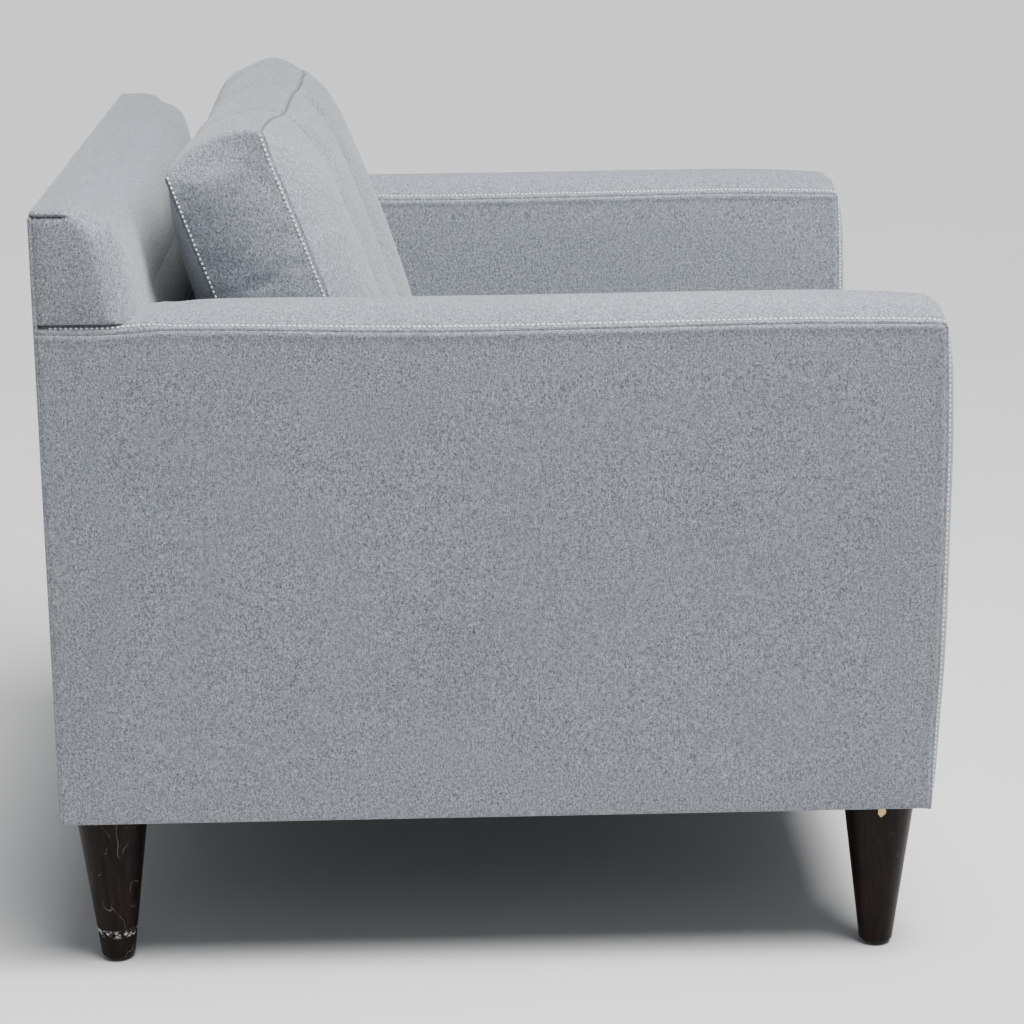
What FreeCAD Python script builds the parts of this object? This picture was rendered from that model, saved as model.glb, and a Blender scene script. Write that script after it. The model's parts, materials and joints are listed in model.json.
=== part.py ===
"""Upholstered armchair with loose seat and back cushions, track arms and turned legs.

Frame: +Z up, the sitter faces -Y, +X is the sitter's left. The origin is on the floor, at the
centre of the chair's plan. Sizes are millimetres and come from the "dims" sheet.
"""
import FreeCAD, Part
import Sketcher
import math
import os

Vec = FreeCAD.Vector
doc = FreeCAD.newDocument("armchair")

# ---------------------------------------------------------------- driving dimensions

DIMENSIONS = [
    ("width", 826, "outside to outside of the arms"),
    ("rear", 421, "Y of the outside back"),
    ("front", 409, "distance of the arm panels' front edge ahead of the origin"),
    ("crown", 12, "how far the arm band crowns beyond its seams"),
    ("base", 156, "underside of the upholstered box"),
    ("arm_seam", 632, "height of the arm's top seams"),
    ("arm_thick", 92, "upholstered arm, outside to inside"),
    ("arm_corner", 12, "radius of the arm panel's top front corner"),
    ("back_top", 744, "height of the fixed back"),
    ("back_seat", 646, "underside of the back where it sits on the arms"),
    ("back_y", 313, "Y of the inside back's face at the level back_z"),
    ("back_z", 641, "level where back_y is taken"),
    ("rake", 18.5, "lean of the inside back, degrees"),
    ("cloth", 2, "thickness of a cover, with its lining"),
    ("timber", 25, "thickness of the frame's rails"),
    ("outer_pad", 8, "padding outside the arm frame"),
    ("front_pad", 15, "padding ahead of the arm facing"),
    ("inner_pad", 30, "foam inside the arm frame"),
    ("block", 80, "side of a corner block"),
    ("rail_top", 295, "top of the seat rails"),
    ("facing", 18, "plywood facing at the front of an arm"),
    ("post_top", 586, "top of the arm posts"),
    ("spring_y", 248, "front face of the rear spring rail"),
    ("spring_z", 299, "centre line of the seat springs"),
    ("wire", 1.9, "radius of the spring wire"),
    ("spring_gap", 140, "distance between seat springs"),
    ("deck", 321, "top of the deck padding"),
    ("leg_x", 45.5, "leg centre in from the outside"),
    ("leg_y", 45.5, "leg centre in from the front and rear"),
    ("leg_top", 35.5, "radius of a leg at the top"),
    ("leg_foot", 16, "radius of a leg at the foot"),
    ("leg_round", 3, "rounding of a leg's foot"),
    ("glide_high", 3, "height of a foot glide"),
    ("glide_wide", 11, "radius of a foot glide"),
    ("bolt", 4, "radius of a hanger bolt"),
    ("bolt_fit", 0.15, "clearance round a hanger bolt"),
    ("seat_low", 324, "underside of the seat cushion"),
    ("seat_high", 446, "top of the seat cushion's corners"),
    ("seat_front", 404, "seat cushion ahead of the origin"),
    ("seat_rear", 196, "seat cushion behind the origin"),
    ("seat_wide", 634, "seat cushion's width"),
    ("seat_round", 20, "rounding of the seat cushion"),
    ("pillow_y", 155, "Y of the back cushion's front seam at the level back_z"),
    ("pillow_rake", 20, "lean of the back cushion, degrees"),
    ("pillow_front", 28, "front crown of the back cushion beyond its seam"),
    ("pillow_rear", 25, "rear crown of the back cushion beyond its seam"),
    ("pillow_box", 102, "back cushion's boxing between its seams"),
    ("pillow_low", 452, "underside of the back cushion"),
    ("pillow_high", 800, "top of the back cushion"),
    ("pillow_wide", 630, "back cushion's width"),
    ("pillow_round", 26, "rounding of the back cushion"),
    ("tuft_x", 105, "tufts either side of the middle"),
    ("tuft_z", 605, "height of the tufts"),
    ("zip_long", 480, "length of a cushion zip"),
    ("zip_wide", 12, "width of a zip's tape"),
]

sheet = doc.addObject("Spreadsheet::Sheet", "dims")
for row, (alias, value, note) in enumerate(DIMENSIONS, start=1):
    sheet.set("A%d" % row, alias)
    sheet.set("B%d" % row, str(value))
    sheet.set("C%d" % row, note)
    sheet.setAlias("B%d" % row, alias)
doc.recompute()


def size(alias):
    """The value of one cell of the sheet."""
    return float(sheet.get(alias))


def dims(text):
    """Writes D.name as dims.name, which keeps the formulas below short."""
    return text.replace("D.", "dims.")


# Faces that several pieces share, as formulas on the sheet. They are for the left side, +X.
HALF = "D.width / 2"
INSIDE = "D.width / 2 - D.arm_thick"
WOOD_OUT = "D.width / 2 - D.cloth - D.outer_pad"
WOOD_IN = "D.width / 2 - D.arm_thick + D.cloth + D.inner_pad"
POST_IN = "D.width / 2 - D.arm_thick + D.cloth"
WOOD_LOW = "D.base + D.cloth"
BLOCK_TOP = "D.base + D.cloth + D.timber"
WOOD_FRONT = "-D.front + D.front_pad"
FACING_BACK = "-D.front + D.front_pad + D.facing"
WOOD_REAR = "D.rear - 13"
POST_FRONT = "D.rear - 13 - D.timber"
LEG_X = "D.width / 2 - D.leg_x"
LEG_REAR = "D.rear - D.leg_y"
LEG_FRONT = "-D.front + D.leg_y - 4"

parts = []
SIDES = (("right", -1), ("left", 1))


def keep(node, label):
    """Marks a document object as a sub-part and gives it its file's name."""
    node.Label = label
    parts.append(node)
    return node


def sided(x, sign):
    """A pair of X formulas for the left side, or their mirror image."""
    return x if sign > 0 else ("-(%s)" % x[1], "-(%s)" % x[0])


def bind(node, **formulas):
    """Binds properties to formulas. An x, y or z is the placement's base."""
    for name, formula in formulas.items():
        path = ".Placement.Base." + name if name in ("x", "y", "z") else name
        node.setExpression(path, dims(formula))
    return node


def box(label, x, y, z, sign=1):
    """A Part::Box between pairs of formulas."""
    x = sided(x, sign)
    node = doc.addObject("Part::Box", label or "block")
    bind(node, Length="(%s) - (%s)" % (x[1], x[0]), Width="(%s) - (%s)" % (y[1], y[0]))
    bind(node, Height="(%s) - (%s)" % (z[1], z[0]), x=x[0], y=y[0], z=z[0])
    return keep(node, label) if label else node


def cylinder(radius, height, x, y, z):
    """An upright Part::Cylinder whose foot is at x, y, z."""
    node = doc.addObject("Part::Cylinder", "cylinder")
    return bind(node, Radius=radius, Height=height, x=x, y=y, z=z)


def group(label, members):
    """Several separate solids as one sub-part."""
    node = doc.addObject("Part::Compound", label)
    node.Links = members
    return keep(node, label)


def cut(base, tools, label=None):
    """Base less its tools, one Part::Cut after another."""
    for tool in tools:
        node = doc.addObject("Part::Cut", "cut")
        node.Base, node.Tool = base, tool
        base = node
    return keep(base, label) if label else base


def plane_of(body, role):
    return [f for f in body.Origin.OriginFeatures if f.Role == role][0]


def outline(body, role, points, name, arch=None):
    """A closed sketch whose corners follow pairs of formulas. arch is the rise of its last side."""
    sketch = body.newObject("Sketcher::SketchObject", name)
    sketch.AttachmentSupport = [(plane_of(body, role), "")]
    sketch.MapMode = "FlatFace"
    corners = [tuple(formula_value(v) for v in p) for p in points]
    count = len(corners)
    for i in range(count):
        (ax, ay), (bx, by) = corners[i], corners[(i + 1) % count]
        start, end = Vec(ax, ay, 0), Vec(bx, by, 0)
        side = Part.LineSegment(start, end)
        if arch and i == count - 1:
            side = Part.Arc(start, (start + end) / 2 + Vec(0, formula_value(arch), 0), end)
        sketch.addGeometry(side, False)
    for i in range(count):
        sketch.addConstraint(Sketcher.Constraint("Coincident", i, 2, (i + 1) % count, 1))
    for i in range(count):
        for axis, value, formula in zip("XY", corners[i], points[i]):
            index = sketch.addConstraint(Sketcher.Constraint("Distance" + axis, -1, 1, i, 1, value))
            sketch.renameConstraint(index, "%s%d" % (axis.lower(), i))
            sketch.setExpression("Constraints.%s%d" % (axis.lower(), i), dims(formula))
    if arch:
        span = "(%s) - (%s)" % (points[-1][0], points[0][0])
        radius = "((%s)^2 / 4 + (%s)^2) / (2 * (%s))" % (span, arch, arch)
        rule = Sketcher.Constraint("Radius", count - 1, formula_value(radius))
        sketch.renameConstraint(sketch.addConstraint(rule), "arch")
        sketch.setExpression("Constraints.arch", dims(radius))
    return sketch


def formula_value(formula):
    """What a formula comes to now. The sketch needs a first value near its bound one."""
    probe = doc.getObject("probe") or doc.addObject("App::FeaturePython", "probe")
    if "value" not in probe.PropertiesList:
        probe.addProperty("App::PropertyFloat", "value")
    probe.setExpression("value", dims(formula))
    probe.recompute()
    return probe.value


def new_body(name):
    return doc.addObject("PartDesign::Body", name)


def pad(body, sketch, length, symmetric=False):
    feature = body.newObject("PartDesign::Pad", "Pad")
    feature.Profile = sketch
    if symmetric:
        feature.SideType = "Symmetric"
    feature.Length = formula_value(length)
    return bind(feature, Length=length)


def pocket(body, sketch, length):
    """A pocket that runs both ways from its sketch, so that it can't point off the solid."""
    feature = body.newObject("PartDesign::Pocket", "Pocket")
    feature.Profile = sketch
    feature.SideType = "Symmetric"
    feature.Length = formula_value(length)
    return bind(feature, Length=length)


def round_edges(body, radius, wanted):
    """Fillets the edges of the body's tip that a test picks by their middle and their run."""
    doc.recompute()
    base = body.Tip
    names = []
    for i, edge in enumerate(base.Shape.Edges, start=1):
        along = edge.Vertexes[-1].Point - edge.Vertexes[0].Point
        if wanted(edge.CenterOfMass, along):
            names.append("Edge%d" % i)
    feature = body.newObject("PartDesign::Fillet", "Fillet")
    feature.Base = (base, names)
    feature.Radius = formula_value(radius)
    bind(feature, Radius=radius)
    body.Tip = feature
    return feature


def panel(label, points, x, sign, corner=True):
    """A flat cover panel standing in the YZ plane, between two X formulas."""
    x = sided(x, sign)
    body = new_body(label)
    pad(body, outline(body, "YZ_Plane", points, "Outline"), "(%s) - (%s)" % (x[1], x[0]))
    if corner:
        top, front = size("arm_seam"), -size("front")
        near = lambda p: abs(p.y - front) < 1 and abs(p.z - top) < 1
        round_edges(body, "D.arm_corner", lambda p, d: near(p) and abs(d.x) > 0.1)
    bind(body, x=x[0])
    return keep(body, label)


# ---------------------------------------------------------------- timber frame

def build_timber():
    """Rails, posts, facings and corner blocks. Seat rails stand between the corner blocks."""
    seat_rail = (WOOD_LOW, "D.rail_top")
    between = ("-(%s)" % POST_IN, POST_IN)
    box("front_rail", between, (WOOD_FRONT, WOOD_FRONT + " + D.timber"), seat_rail)
    box("rear_rail", between, (POST_FRONT, WOOD_REAR), seat_rail)
    inner_sides = ("-(%s) + D.timber" % WOOD_OUT, WOOD_OUT + " - D.timber")
    spring_rail = ("D.spring_y", "D.spring_y + D.timber")
    box("rear_spring_rail", inner_sides, spring_rail, ("D.rail_top - 90", "D.rail_top"))
    box("back_top_rail", between, (POST_FRONT, WOOD_REAR), ("D.back_top - 54", "D.back_top - 14"))
    uprights, slats = [], []
    for side, sign in SIDES:
        side_rail(side, sign)
        post_x = (WOOD_IN, WOOD_IN + " + D.timber")
        post_y = (FACING_BACK, FACING_BACK + " + 80")
        box("arm_post_" + side, post_x, post_y, (BLOCK_TOP, "D.post_top"), sign)
        facing_y = (WOOD_FRONT, FACING_BACK)
        cap = "D.post_top + D.facing"
        box("arm_facing_" + side, (POST_IN, WOOD_OUT), facing_y, (BLOCK_TOP, cap), sign)
        cap_y = (FACING_BACK, POST_FRONT)
        box("arm_cap_rail_" + side, (WOOD_IN, WOOD_OUT), cap_y, ("D.post_top", cap), sign)
        post_y, post_z = (POST_FRONT, WOOD_REAR), (BLOCK_TOP, "D.arm_seam - 4")
        box("rear_post_" + side, (POST_IN, WOOD_OUT), post_y, post_z, sign)
        upright_z = ("D.back_seat + D.cloth + 0.5", "D.back_top - 14")
        uprights.append(box(None, (POST_IN, WOOD_OUT), post_y, upright_z, sign))
        slats.append(back_slat(sign))
    group("back_uprights", uprights)
    group("back_slats", slats)
    corner_blocks()


def side_rail(side, sign):
    """A seat rail that is notched over the corner blocks at both ends."""
    front_notch, rear_notch = WOOD_FRONT + " + D.block", WOOD_REAR + " - D.block"
    points = [
        (front_notch, WOOD_LOW), (rear_notch, WOOD_LOW), (rear_notch, BLOCK_TOP),
        (POST_FRONT, BLOCK_TOP), (POST_FRONT, "D.rail_top"), (FACING_BACK, "D.rail_top"),
        (FACING_BACK, BLOCK_TOP), (front_notch, BLOCK_TOP),
    ]
    panel("side_rail_" + side, points, (WOOD_OUT + " - D.timber", WOOD_OUT), sign, corner=False)


def raked_box(label, wide, thick, low, high, x, depth):
    """A board that leans with the inside back, at a depth behind its face."""
    node = doc.addObject("Part::Box", label or "strap")
    cosine = "cos(D.rake)"
    foot_y = "D.back_y + (%s - D.back_z) * tan(D.rake) + (%s) / %s" % (low, depth, cosine)
    bind(node, Length=wide, Width=thick, Height="(%s - %s) / %s" % (high, low, cosine))
    bind(node, x=x, y=foot_y, z=low)
    node.Placement.Rotation = FreeCAD.Rotation(Vec(1, 0, 0), -size("rake"))
    return keep(node, label) if label else node


def back_slat(sign):
    """A leaning post that carries the back's straps, from the rear spring rail to the top rail."""
    x = sided(("1.5 * D.spring_gap - 25", "1.5 * D.spring_gap + 33"), sign)
    low, high = "(D.rail_top + 9)", "(D.back_top - 54.5)"
    return raked_box(None, "58", "D.timber", low, high, x[0], "47")


def leg_centres():
    """X and Y formulas of the four legs, front right first."""
    for y in (LEG_FRONT, LEG_REAR):
        for _, sign in SIDES:
            yield (LEG_X if sign > 0 else "-(%s)" % LEG_X), y


def corner_blocks():
    """Four hardwood blocks, each bored for its leg's bolt and counterbored for a tee nut."""
    blocks = []
    for index, (x, y) in enumerate(leg_centres()):
        sign = 1 if index % 2 else -1
        ends = (WOOD_FRONT, WOOD_FRONT + " + D.block")
        if index > 1:
            ends = (WOOD_REAR + " - D.block", WOOD_REAR)
        solid = box(None, (POST_IN, WOOD_OUT), ends, (WOOD_LOW, BLOCK_TOP), sign)
        bore = cylinder("D.bolt + 1.3", "D.timber + 2", x, y, WOOD_LOW + " - 1")
        seat = cylinder("D.bolt + 7.2", "3", x, y, BLOCK_TOP + " - 2")
        blocks.append(cut(solid, [bore, seat]))
    group("corner_blocks", blocks)


# ---------------------------------------------------------------- legs and their fittings

def build_legs():
    """Turned tapered legs, each bored in its top for a hanger bolt."""
    names = ["leg_front_right", "leg_front_left", "leg_rear_right", "leg_rear_left"]
    top = "(%s)" % WOOD_LOW
    for label, (x, y) in zip(names, leg_centres()):
        body = new_body(label)
        bore, depth = "D.bolt + D.bolt_fit", top + " - 40"
        points = [
            ("0", "D.glide_high"), ("D.leg_foot", "D.glide_high"), ("D.leg_top", top),
            (bore, top), (bore, depth), ("0", depth),
        ]
        sketch = outline(body, "XZ_Plane", points, "Profile")
        turn = body.newObject("PartDesign::Revolution", "Revolution")
        turn.Profile = sketch
        turn.ReferenceAxis = (sketch, ["V_Axis"])
        turn.Angle = 360
        low = size("glide_high")
        round_edges(body, "D.leg_round", lambda p, d: abs(p.z - low) < 0.5)
        bind(body, x=x, y=y)
        keep(body, label)
    bolts, nuts, glides = [], [], []
    for x, y in leg_centres():
        bolts.append(cylinder("D.bolt", "D.timber + 38", x, y, top + " - 39"))
        nuts.append(tee_nut(x, y))
        glide = cylinder("D.glide_wide", "D.glide_high", x, y, "0")
        glides.append(glide)
    group("hanger_bolts", bolts)
    group("tee_nuts", nuts)
    group("foot_glides", glides)


def tee_nut(x, y):
    """A flanged nut in the block: a barrel below a round flange, bored for the bolt."""
    fit = "D.bolt + D.bolt_fit"
    barrel = cylinder("D.bolt + 1.2", "10", x, y, BLOCK_TOP + " - 11.5")
    flange = cylinder("D.bolt + 7", "1.5", x, y, BLOCK_TOP + " - 1.5")
    fused = doc.addObject("Part::Fuse", "nut")
    fused.Base, fused.Tool = barrel, flange
    return cut(fused, [cylinder(fit, "14", x, y, BLOCK_TOP + " - 13")])


# ---------------------------------------------------------------- springs, clips, straps

def spring_centres():
    return [(i - 2) * size("spring_gap") for i in range(5)]


def zigzag(x, first, last, radius, half, bars, level):
    """The centre line of a sinuous spring: cross bars joined by half circles."""
    step = (last - first) / (bars - 1)
    edges = []
    for i in range(bars):
        y, way = first + i * step, 1 if i % 2 == 0 else -1
        start, end = Vec(x - way * half, y, level), Vec(x + way * half, y, level)
        edges.append(Part.LineSegment(start, end).toShape())
        if i < bars - 1:
            outer = Vec(x + way * (half + radius), y + step / 2, level)
            after = Vec(x + way * half, y + step, level)
            edges.append(Part.Arc(end, outer, after).toShape())
    return Part.Wire(edges)


def build_springs():
    """Five sinuous springs from rail to rail, their clips, and two stay wires across them."""
    first = -size("front") + size("front_pad") + 9
    last = size("spring_y") + 6
    bars, level, wire = 26, size("spring_z"), size("wire")
    radius = (last - first) / (bars - 1) / 2
    springs, clips = [], []
    for x in spring_centres():
        line = zigzag(x, first, last, radius, 18, bars, level)
        start = line.OrderedVertexes[0].Point
        ring = Part.Wire(Part.makeCircle(wire, start, Vec(1, 0, 0)))
        springs.append(line.makePipeShell([ring], True, False))
        clips += [spring_clip(x, first, 1), spring_clip(x, last, -1)]
    for label, shapes in (("seat_springs", springs), ("spring_clips", clips)):
        node = doc.addObject("Part::Feature", label)
        node.Shape = Part.makeCompound(shapes)
        keep(node, label)
    wires = []
    for y in ("-D.spring_gap", "D.spring_gap / 2"):
        stay = cylinder("1.4", "2 * (%s) - 56" % WOOD_OUT, "-(%s) + 28" % WOOD_OUT, y, "D.spring_z - 3.6")
        stay.Placement.Rotation = FreeCAD.Rotation(Vec(0, 1, 0), 90)
        wires.append(stay)
    group("stay_wires", wires)


def spring_clip(x, y, way):
    """A folded steel clip that hooks a spring's end bar. way is +1 where it opens to the rear."""
    low, gauge, length = size("spring_z") - 3.5, 1.2, 22
    tail, nose, high = 9 * way, -8 * way, 7.2
    points = [
        (tail, 0), (nose, 0), (nose, high), (3 * way, high), (3 * way, high - gauge),
        (nose + gauge * way, high - gauge), (nose + gauge * way, gauge), (tail, gauge), (tail, 0),
    ]
    ring = Part.makePolygon([Vec(x - length / 2, y + dy, low + dz - 0.5) for dy, dz in points])
    return Part.Face(ring).extrude(Vec(length, 0, 0))


def build_straps():
    """Four elastic straps across the inside back, from slat to slat."""
    half = "(1.5 * D.spring_gap + 33)"
    straps = []
    for i in range(4):
        low, high = "(D.rail_top + %d)" % (40 + 85 * i), "(D.rail_top + %d)" % (90 + 85 * i)
        straps.append(raked_box(None, "2 * " + half, "2.4", low, high, "-" + half, "44.3"))
    group("back_straps", straps)


# ---------------------------------------------------------------- padding

def crowned_section(body, role, low, high, x, name):
    """A sketch of an arm pad's section: flat foot, upright sides and an arched top."""
    corners = [(x[0], high), (x[0], low), (x[1], low), (x[1], high)]
    return outline(body, role, corners, name, arch="D.crown - D.cloth - 1.5")


def build_arm_padding(side, sign):
    """Foam inside the arm, a thin pad outside it, and a crowned strip over its top and front."""
    foam_y, foam_z = (FACING_BACK, POST_FRONT), ("D.rail_top + 3", "D.post_top + D.facing")
    box("arm_inner_foam_" + side, (POST_IN, WOOD_IN + " - 0.3"), foam_y, foam_z, sign)
    outer_x = (WOOD_OUT, HALF + " - D.cloth")
    outer_y = ("-D.front + 2", "D.rear - D.cloth")
    box("arm_outer_pad_" + side, outer_x, outer_y, (WOOD_LOW, "D.arm_seam - 4"), sign)
    label = "arm_top_foam_" + side
    body = new_body(label)
    x = sided((POST_IN + " + 2", WOOD_OUT), sign)
    cap, high = "D.post_top + D.facing", "D.arm_seam - 2"
    top = crowned_section(body, "XZ_Plane", cap, high, x, "TopSection")
    top.setExpression(".AttachmentOffset.Base.z", dims("-(%s)" % POST_FRONT))
    pad(body, top, "%s - (%s)" % (POST_FRONT, WOOD_FRONT))
    wood, face = "D.front - D.front_pad", "D.front - 2"
    nose = crowned_section(body, "XY_Plane", wood, face, x, "FrontSection")
    nose.AttachmentOffset = FreeCAD.Placement(Vec(), FreeCAD.Rotation(Vec(1, 0, 0), 180))
    nose.setExpression(".AttachmentOffset.Base.z", dims(high))
    pad(body, nose, "%s - (%s)" % (high, WOOD_LOW))
    keep(body, label)


def build_back_padding():
    """The inside back's foam: a leaning slab between the arms and a block above them."""
    label = "back_foam"
    body = new_body(label)
    face = "D.back_y + (%s - D.back_z) * tan(D.rake) + %s"
    low, seat = "(D.seat_low + 1)", "(D.back_seat + 3)"
    skin = "(D.cloth + 0.5) / cos(D.rake)"
    deep = "44 / cos(D.rake)"
    lower = [
        (face % (low, skin), low), (face % (low, deep), low),
        (face % (seat, deep), seat), (face % (seat, skin), seat),
    ]
    pad(body, outline(body, "YZ_Plane", lower, "Lower"), "2 * (%s) - 10" % INSIDE, True)
    shoulder = "(D.back_top - 49)"
    step = "(D.back_top - 53)"
    upper = [
        (face % (seat, skin), seat), (face % (seat, deep), seat), (face % (step, deep), step),
        (POST_FRONT, step), (POST_FRONT, "D.back_top - D.cloth - 1"),
        ("D.rear - 69", "D.back_top - 19"),
        (face % (shoulder, skin), shoulder),
    ]
    pad(body, outline(body, "YZ_Plane", upper, "Upper"), "D.width - 2 * D.cloth - 2", True)
    keep(body, label)
    rear_y = (WOOD_REAR, "D.rear - D.cloth")
    sides = ("-(%s) + 4" % INSIDE, INSIDE + " - 4")
    box("back_outer_pad", sides, rear_y, (WOOD_LOW, "D.back_top - D.cloth - 2"))


def build_padding():
    for side, sign in SIDES:
        build_arm_padding(side, sign)
    build_back_padding()
    inside = ("-(%s) + 2" % INSIDE, INSIDE + " - 2")
    box("deck_pad", inside, (WOOD_FRONT, "D.spring_y - 8"), ("D.deck - 18", "D.deck"))


# ---------------------------------------------------------------- fixed covers

def arm_band(side, sign):
    """The crowned strip over an arm: along its top, round the front corner and down the front."""
    rear, front = size("rear") - size("cloth"), -size("front")
    seam, low, bend = size("arm_seam"), size("base"), size("arm_corner")
    half, thick, rise, skin = size("width") / 2, size("arm_thick"), size("crown"), size("cloth")
    middle = sign * (half - thick / 2)
    turn = bend * math.sin(math.radians(45))
    bend_start, bend_end = Vec(middle, front + bend, seam), Vec(middle, front, seam - bend)
    bend_mid = Vec(middle, front + bend - turn, seam - bend + turn)
    path = Part.Wire([
        Part.LineSegment(Vec(middle, rear, seam), bend_start).toShape(),
        Part.Arc(bend_start, bend_mid, bend_end).toShape(),
        Part.LineSegment(bend_end, Vec(middle, front, low)).toShape(),
    ])

    def arch(width, height):
        ends = [Vec(middle + k * width / 2, rear, seam) for k in (-1, 1)]
        return ends[0], Vec(middle, rear, seam + height), ends[1]

    outer, inner = arch(thick, rise), arch(thick - 2 * skin, rise - skin)
    section = Part.Wire([
        Part.Arc(*outer).toShape(), Part.LineSegment(outer[2], inner[2]).toShape(),
        Part.Arc(*inner[::-1]).toShape(), Part.LineSegment(inner[0], outer[0]).toShape(),
    ])
    node = doc.addObject("Part::Feature", "arm_band_" + side)
    node.Shape = path.makePipeShell([section], True, False)
    keep(node, "arm_band_" + side)


def build_arm_covers(side, sign):
    """Outer panel, inner panel and band of one arm."""
    rear_edge = "D.rear - D.cloth"
    outer = [("-D.front", "D.base"), (rear_edge, "D.base"), (rear_edge, "D.arm_seam"),
             ("-D.front", "D.arm_seam")]
    panel("arm_outer_panel_" + side, outer, (HALF + " - D.cloth", HALF), sign)
    low = "D.rail_top + 3"
    inner = [("-D.front", low), (POST_FRONT, low), (POST_FRONT, "D.arm_seam"),
             ("-D.front", "D.arm_seam")]
    panel("arm_inner_panel_" + side, inner, (INSIDE, POST_IN), sign)
    arm_band(side, sign)


def build_back_cover():
    """The inside back's cover: a tee-shaped shell, open at the rear and below."""
    body = new_body("back_cover")
    face = "D.back_y + (%s - D.back_z) * tan(D.rake) + %s"
    shoulder, low, seat = "(D.back_top - 49)", "(D.seat_low + 1)", "D.back_seat"
    far = "D.rear - D.cloth"

    def profile(skin, bottom, rear):
        lean, lift = "(%s) / cos(D.rake)" % skin, skin
        return [
            (face % (bottom, lean), bottom), (rear, bottom), (rear, "D.back_top - " + lift),
            ("D.rear - 40 + (%s) / 2" % skin, "D.back_top - " + lift),
            ("D.rear - 71 + (%s)" % skin, "D.back_top - 16 - (%s)" % skin),
            (face % (shoulder, lean), shoulder),
        ]

    def slab(skin, bottom, top, deep):
        front, rear = "(%s) / cos(D.rake)" % skin, "(%s) / cos(D.rake)" % deep
        return [
            (face % (bottom, front), bottom), (face % (bottom, rear), bottom),
            (face % (top, rear), top), (face % (top, front), top),
        ]

    wide, narrow = "D.width", "2 * (%s) - 4" % INSIDE
    pad(body, outline(body, "YZ_Plane", profile("0", seat, far), "Upper"), wide, True)
    pad(body, outline(body, "YZ_Plane", slab("0", low, seat, "46"), "Lower"), narrow, True)
    hollow = profile("D.cloth", "(%s + D.cloth)" % seat, "D.rear + 20")
    pocket(body, outline(body, "YZ_Plane", hollow, "UpperHollow"), wide + " - 2 * D.cloth")
    inside = slab("D.cloth", "(%s - 5)" % low, "(%s + D.cloth + 1)" % seat, "140")
    pocket(body, outline(body, "YZ_Plane", inside, "LowerHollow"), narrow + " - 2 * D.cloth")
    keep(body, "back_cover")


def build_covers():
    for side, sign in SIDES:
        build_arm_covers(side, sign)
    build_back_cover()
    across = ("-D.width / 2", HALF)
    box("back_outer_panel", across, ("D.rear - D.cloth", "D.rear"), ("D.base", "D.back_top"))
    inside = ("-(%s)" % INSIDE, INSIDE)
    front_y = (WOOD_FRONT + " - D.cloth", WOOD_FRONT)
    box("front_rail_cover", inside, front_y, ("D.base", "D.deck + 1.5"))
    deck_x = ("-(%s) + 2" % INSIDE, INSIDE + " - 2")
    box("deck_cloth", deck_x, (WOOD_FRONT, "D.seat_rear + 6"), ("D.deck", "D.deck + 1.5"))
    edge, clear = HALF + " - (D.cloth + D.outer_pad + 2)", "(D.leg_top + 2)"
    level = ("D.base + 0.8", "D.base + D.cloth")
    plate = box(None, ("-(%s)" % edge, edge), (WOOD_FRONT, WOOD_REAR), level)
    notches = []
    for _, sign in SIDES:
        notch_x, notch_z = (LEG_X + " - " + clear, HALF), ("D.base", "D.base + 4")
        front_y = ("-D.front", LEG_FRONT + " + " + clear)
        rear_y = (LEG_REAR + " - " + clear, "D.rear")
        notches += [box(None, notch_x, y, notch_z, sign) for y in (front_y, rear_y)]
    cut(plate, notches, "dust_cover")


# ---------------------------------------------------------------- loose cushions

def cushion_body(name, points, wide, radius):
    """A cushion's outer form: its side view drawn out across the chair, with soft edges."""
    body = new_body(name)
    pad(body, outline(body, "YZ_Plane", points, "Side"), wide, True)
    round_edges(body, radius, lambda p, d: True)
    return body


def inset(points, by):
    """A side view taken in by a distance along Y and Z, for the inside of a cover."""
    (a, b, c, d) = points
    return [
        ("%s + %s" % (a[0], by), "%s + %s" % (a[1], by)),
        ("%s - %s" % (b[0], by), "%s + %s" % (b[1], by)),
        ("%s - %s" % (c[0], by), "%s - %s" % (c[1], by)),
        ("%s + %s" % (d[0], by), "%s - %s" % (d[1], by)),
    ]


def seat_points():
    return [("-D.seat_front", "D.seat_low"), ("D.seat_rear", "D.seat_low"),
            ("D.seat_rear", "D.seat_high"), ("-D.seat_front", "D.seat_high")]


def pillow_points():
    """The back cushion's side view: two leaning faces between a flat foot and a square top."""
    lean, box_cos = "tan(D.pillow_rake)", "cos(D.pillow_rake)"
    face = "D.pillow_y + (%s - D.back_z) * " + lean + " + (%s) / " + box_cos
    back = "D.pillow_box + D.pillow_rear"
    # the top runs square to the faces, so its rear corner is lower than its front one
    drop = "(D.pillow_box + D.pillow_rear + D.pillow_front) * sin(D.pillow_rake)"
    high, low = "(D.pillow_high + 8)", "D.pillow_low"
    rear_high = "(%s - %s)" % (high, drop)
    return [(face % (low, "-D.pillow_front"), low), (face % (low, back), low),
            (face % (rear_high, back), rear_high), (face % (high, "-D.pillow_front"), high)]


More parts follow.
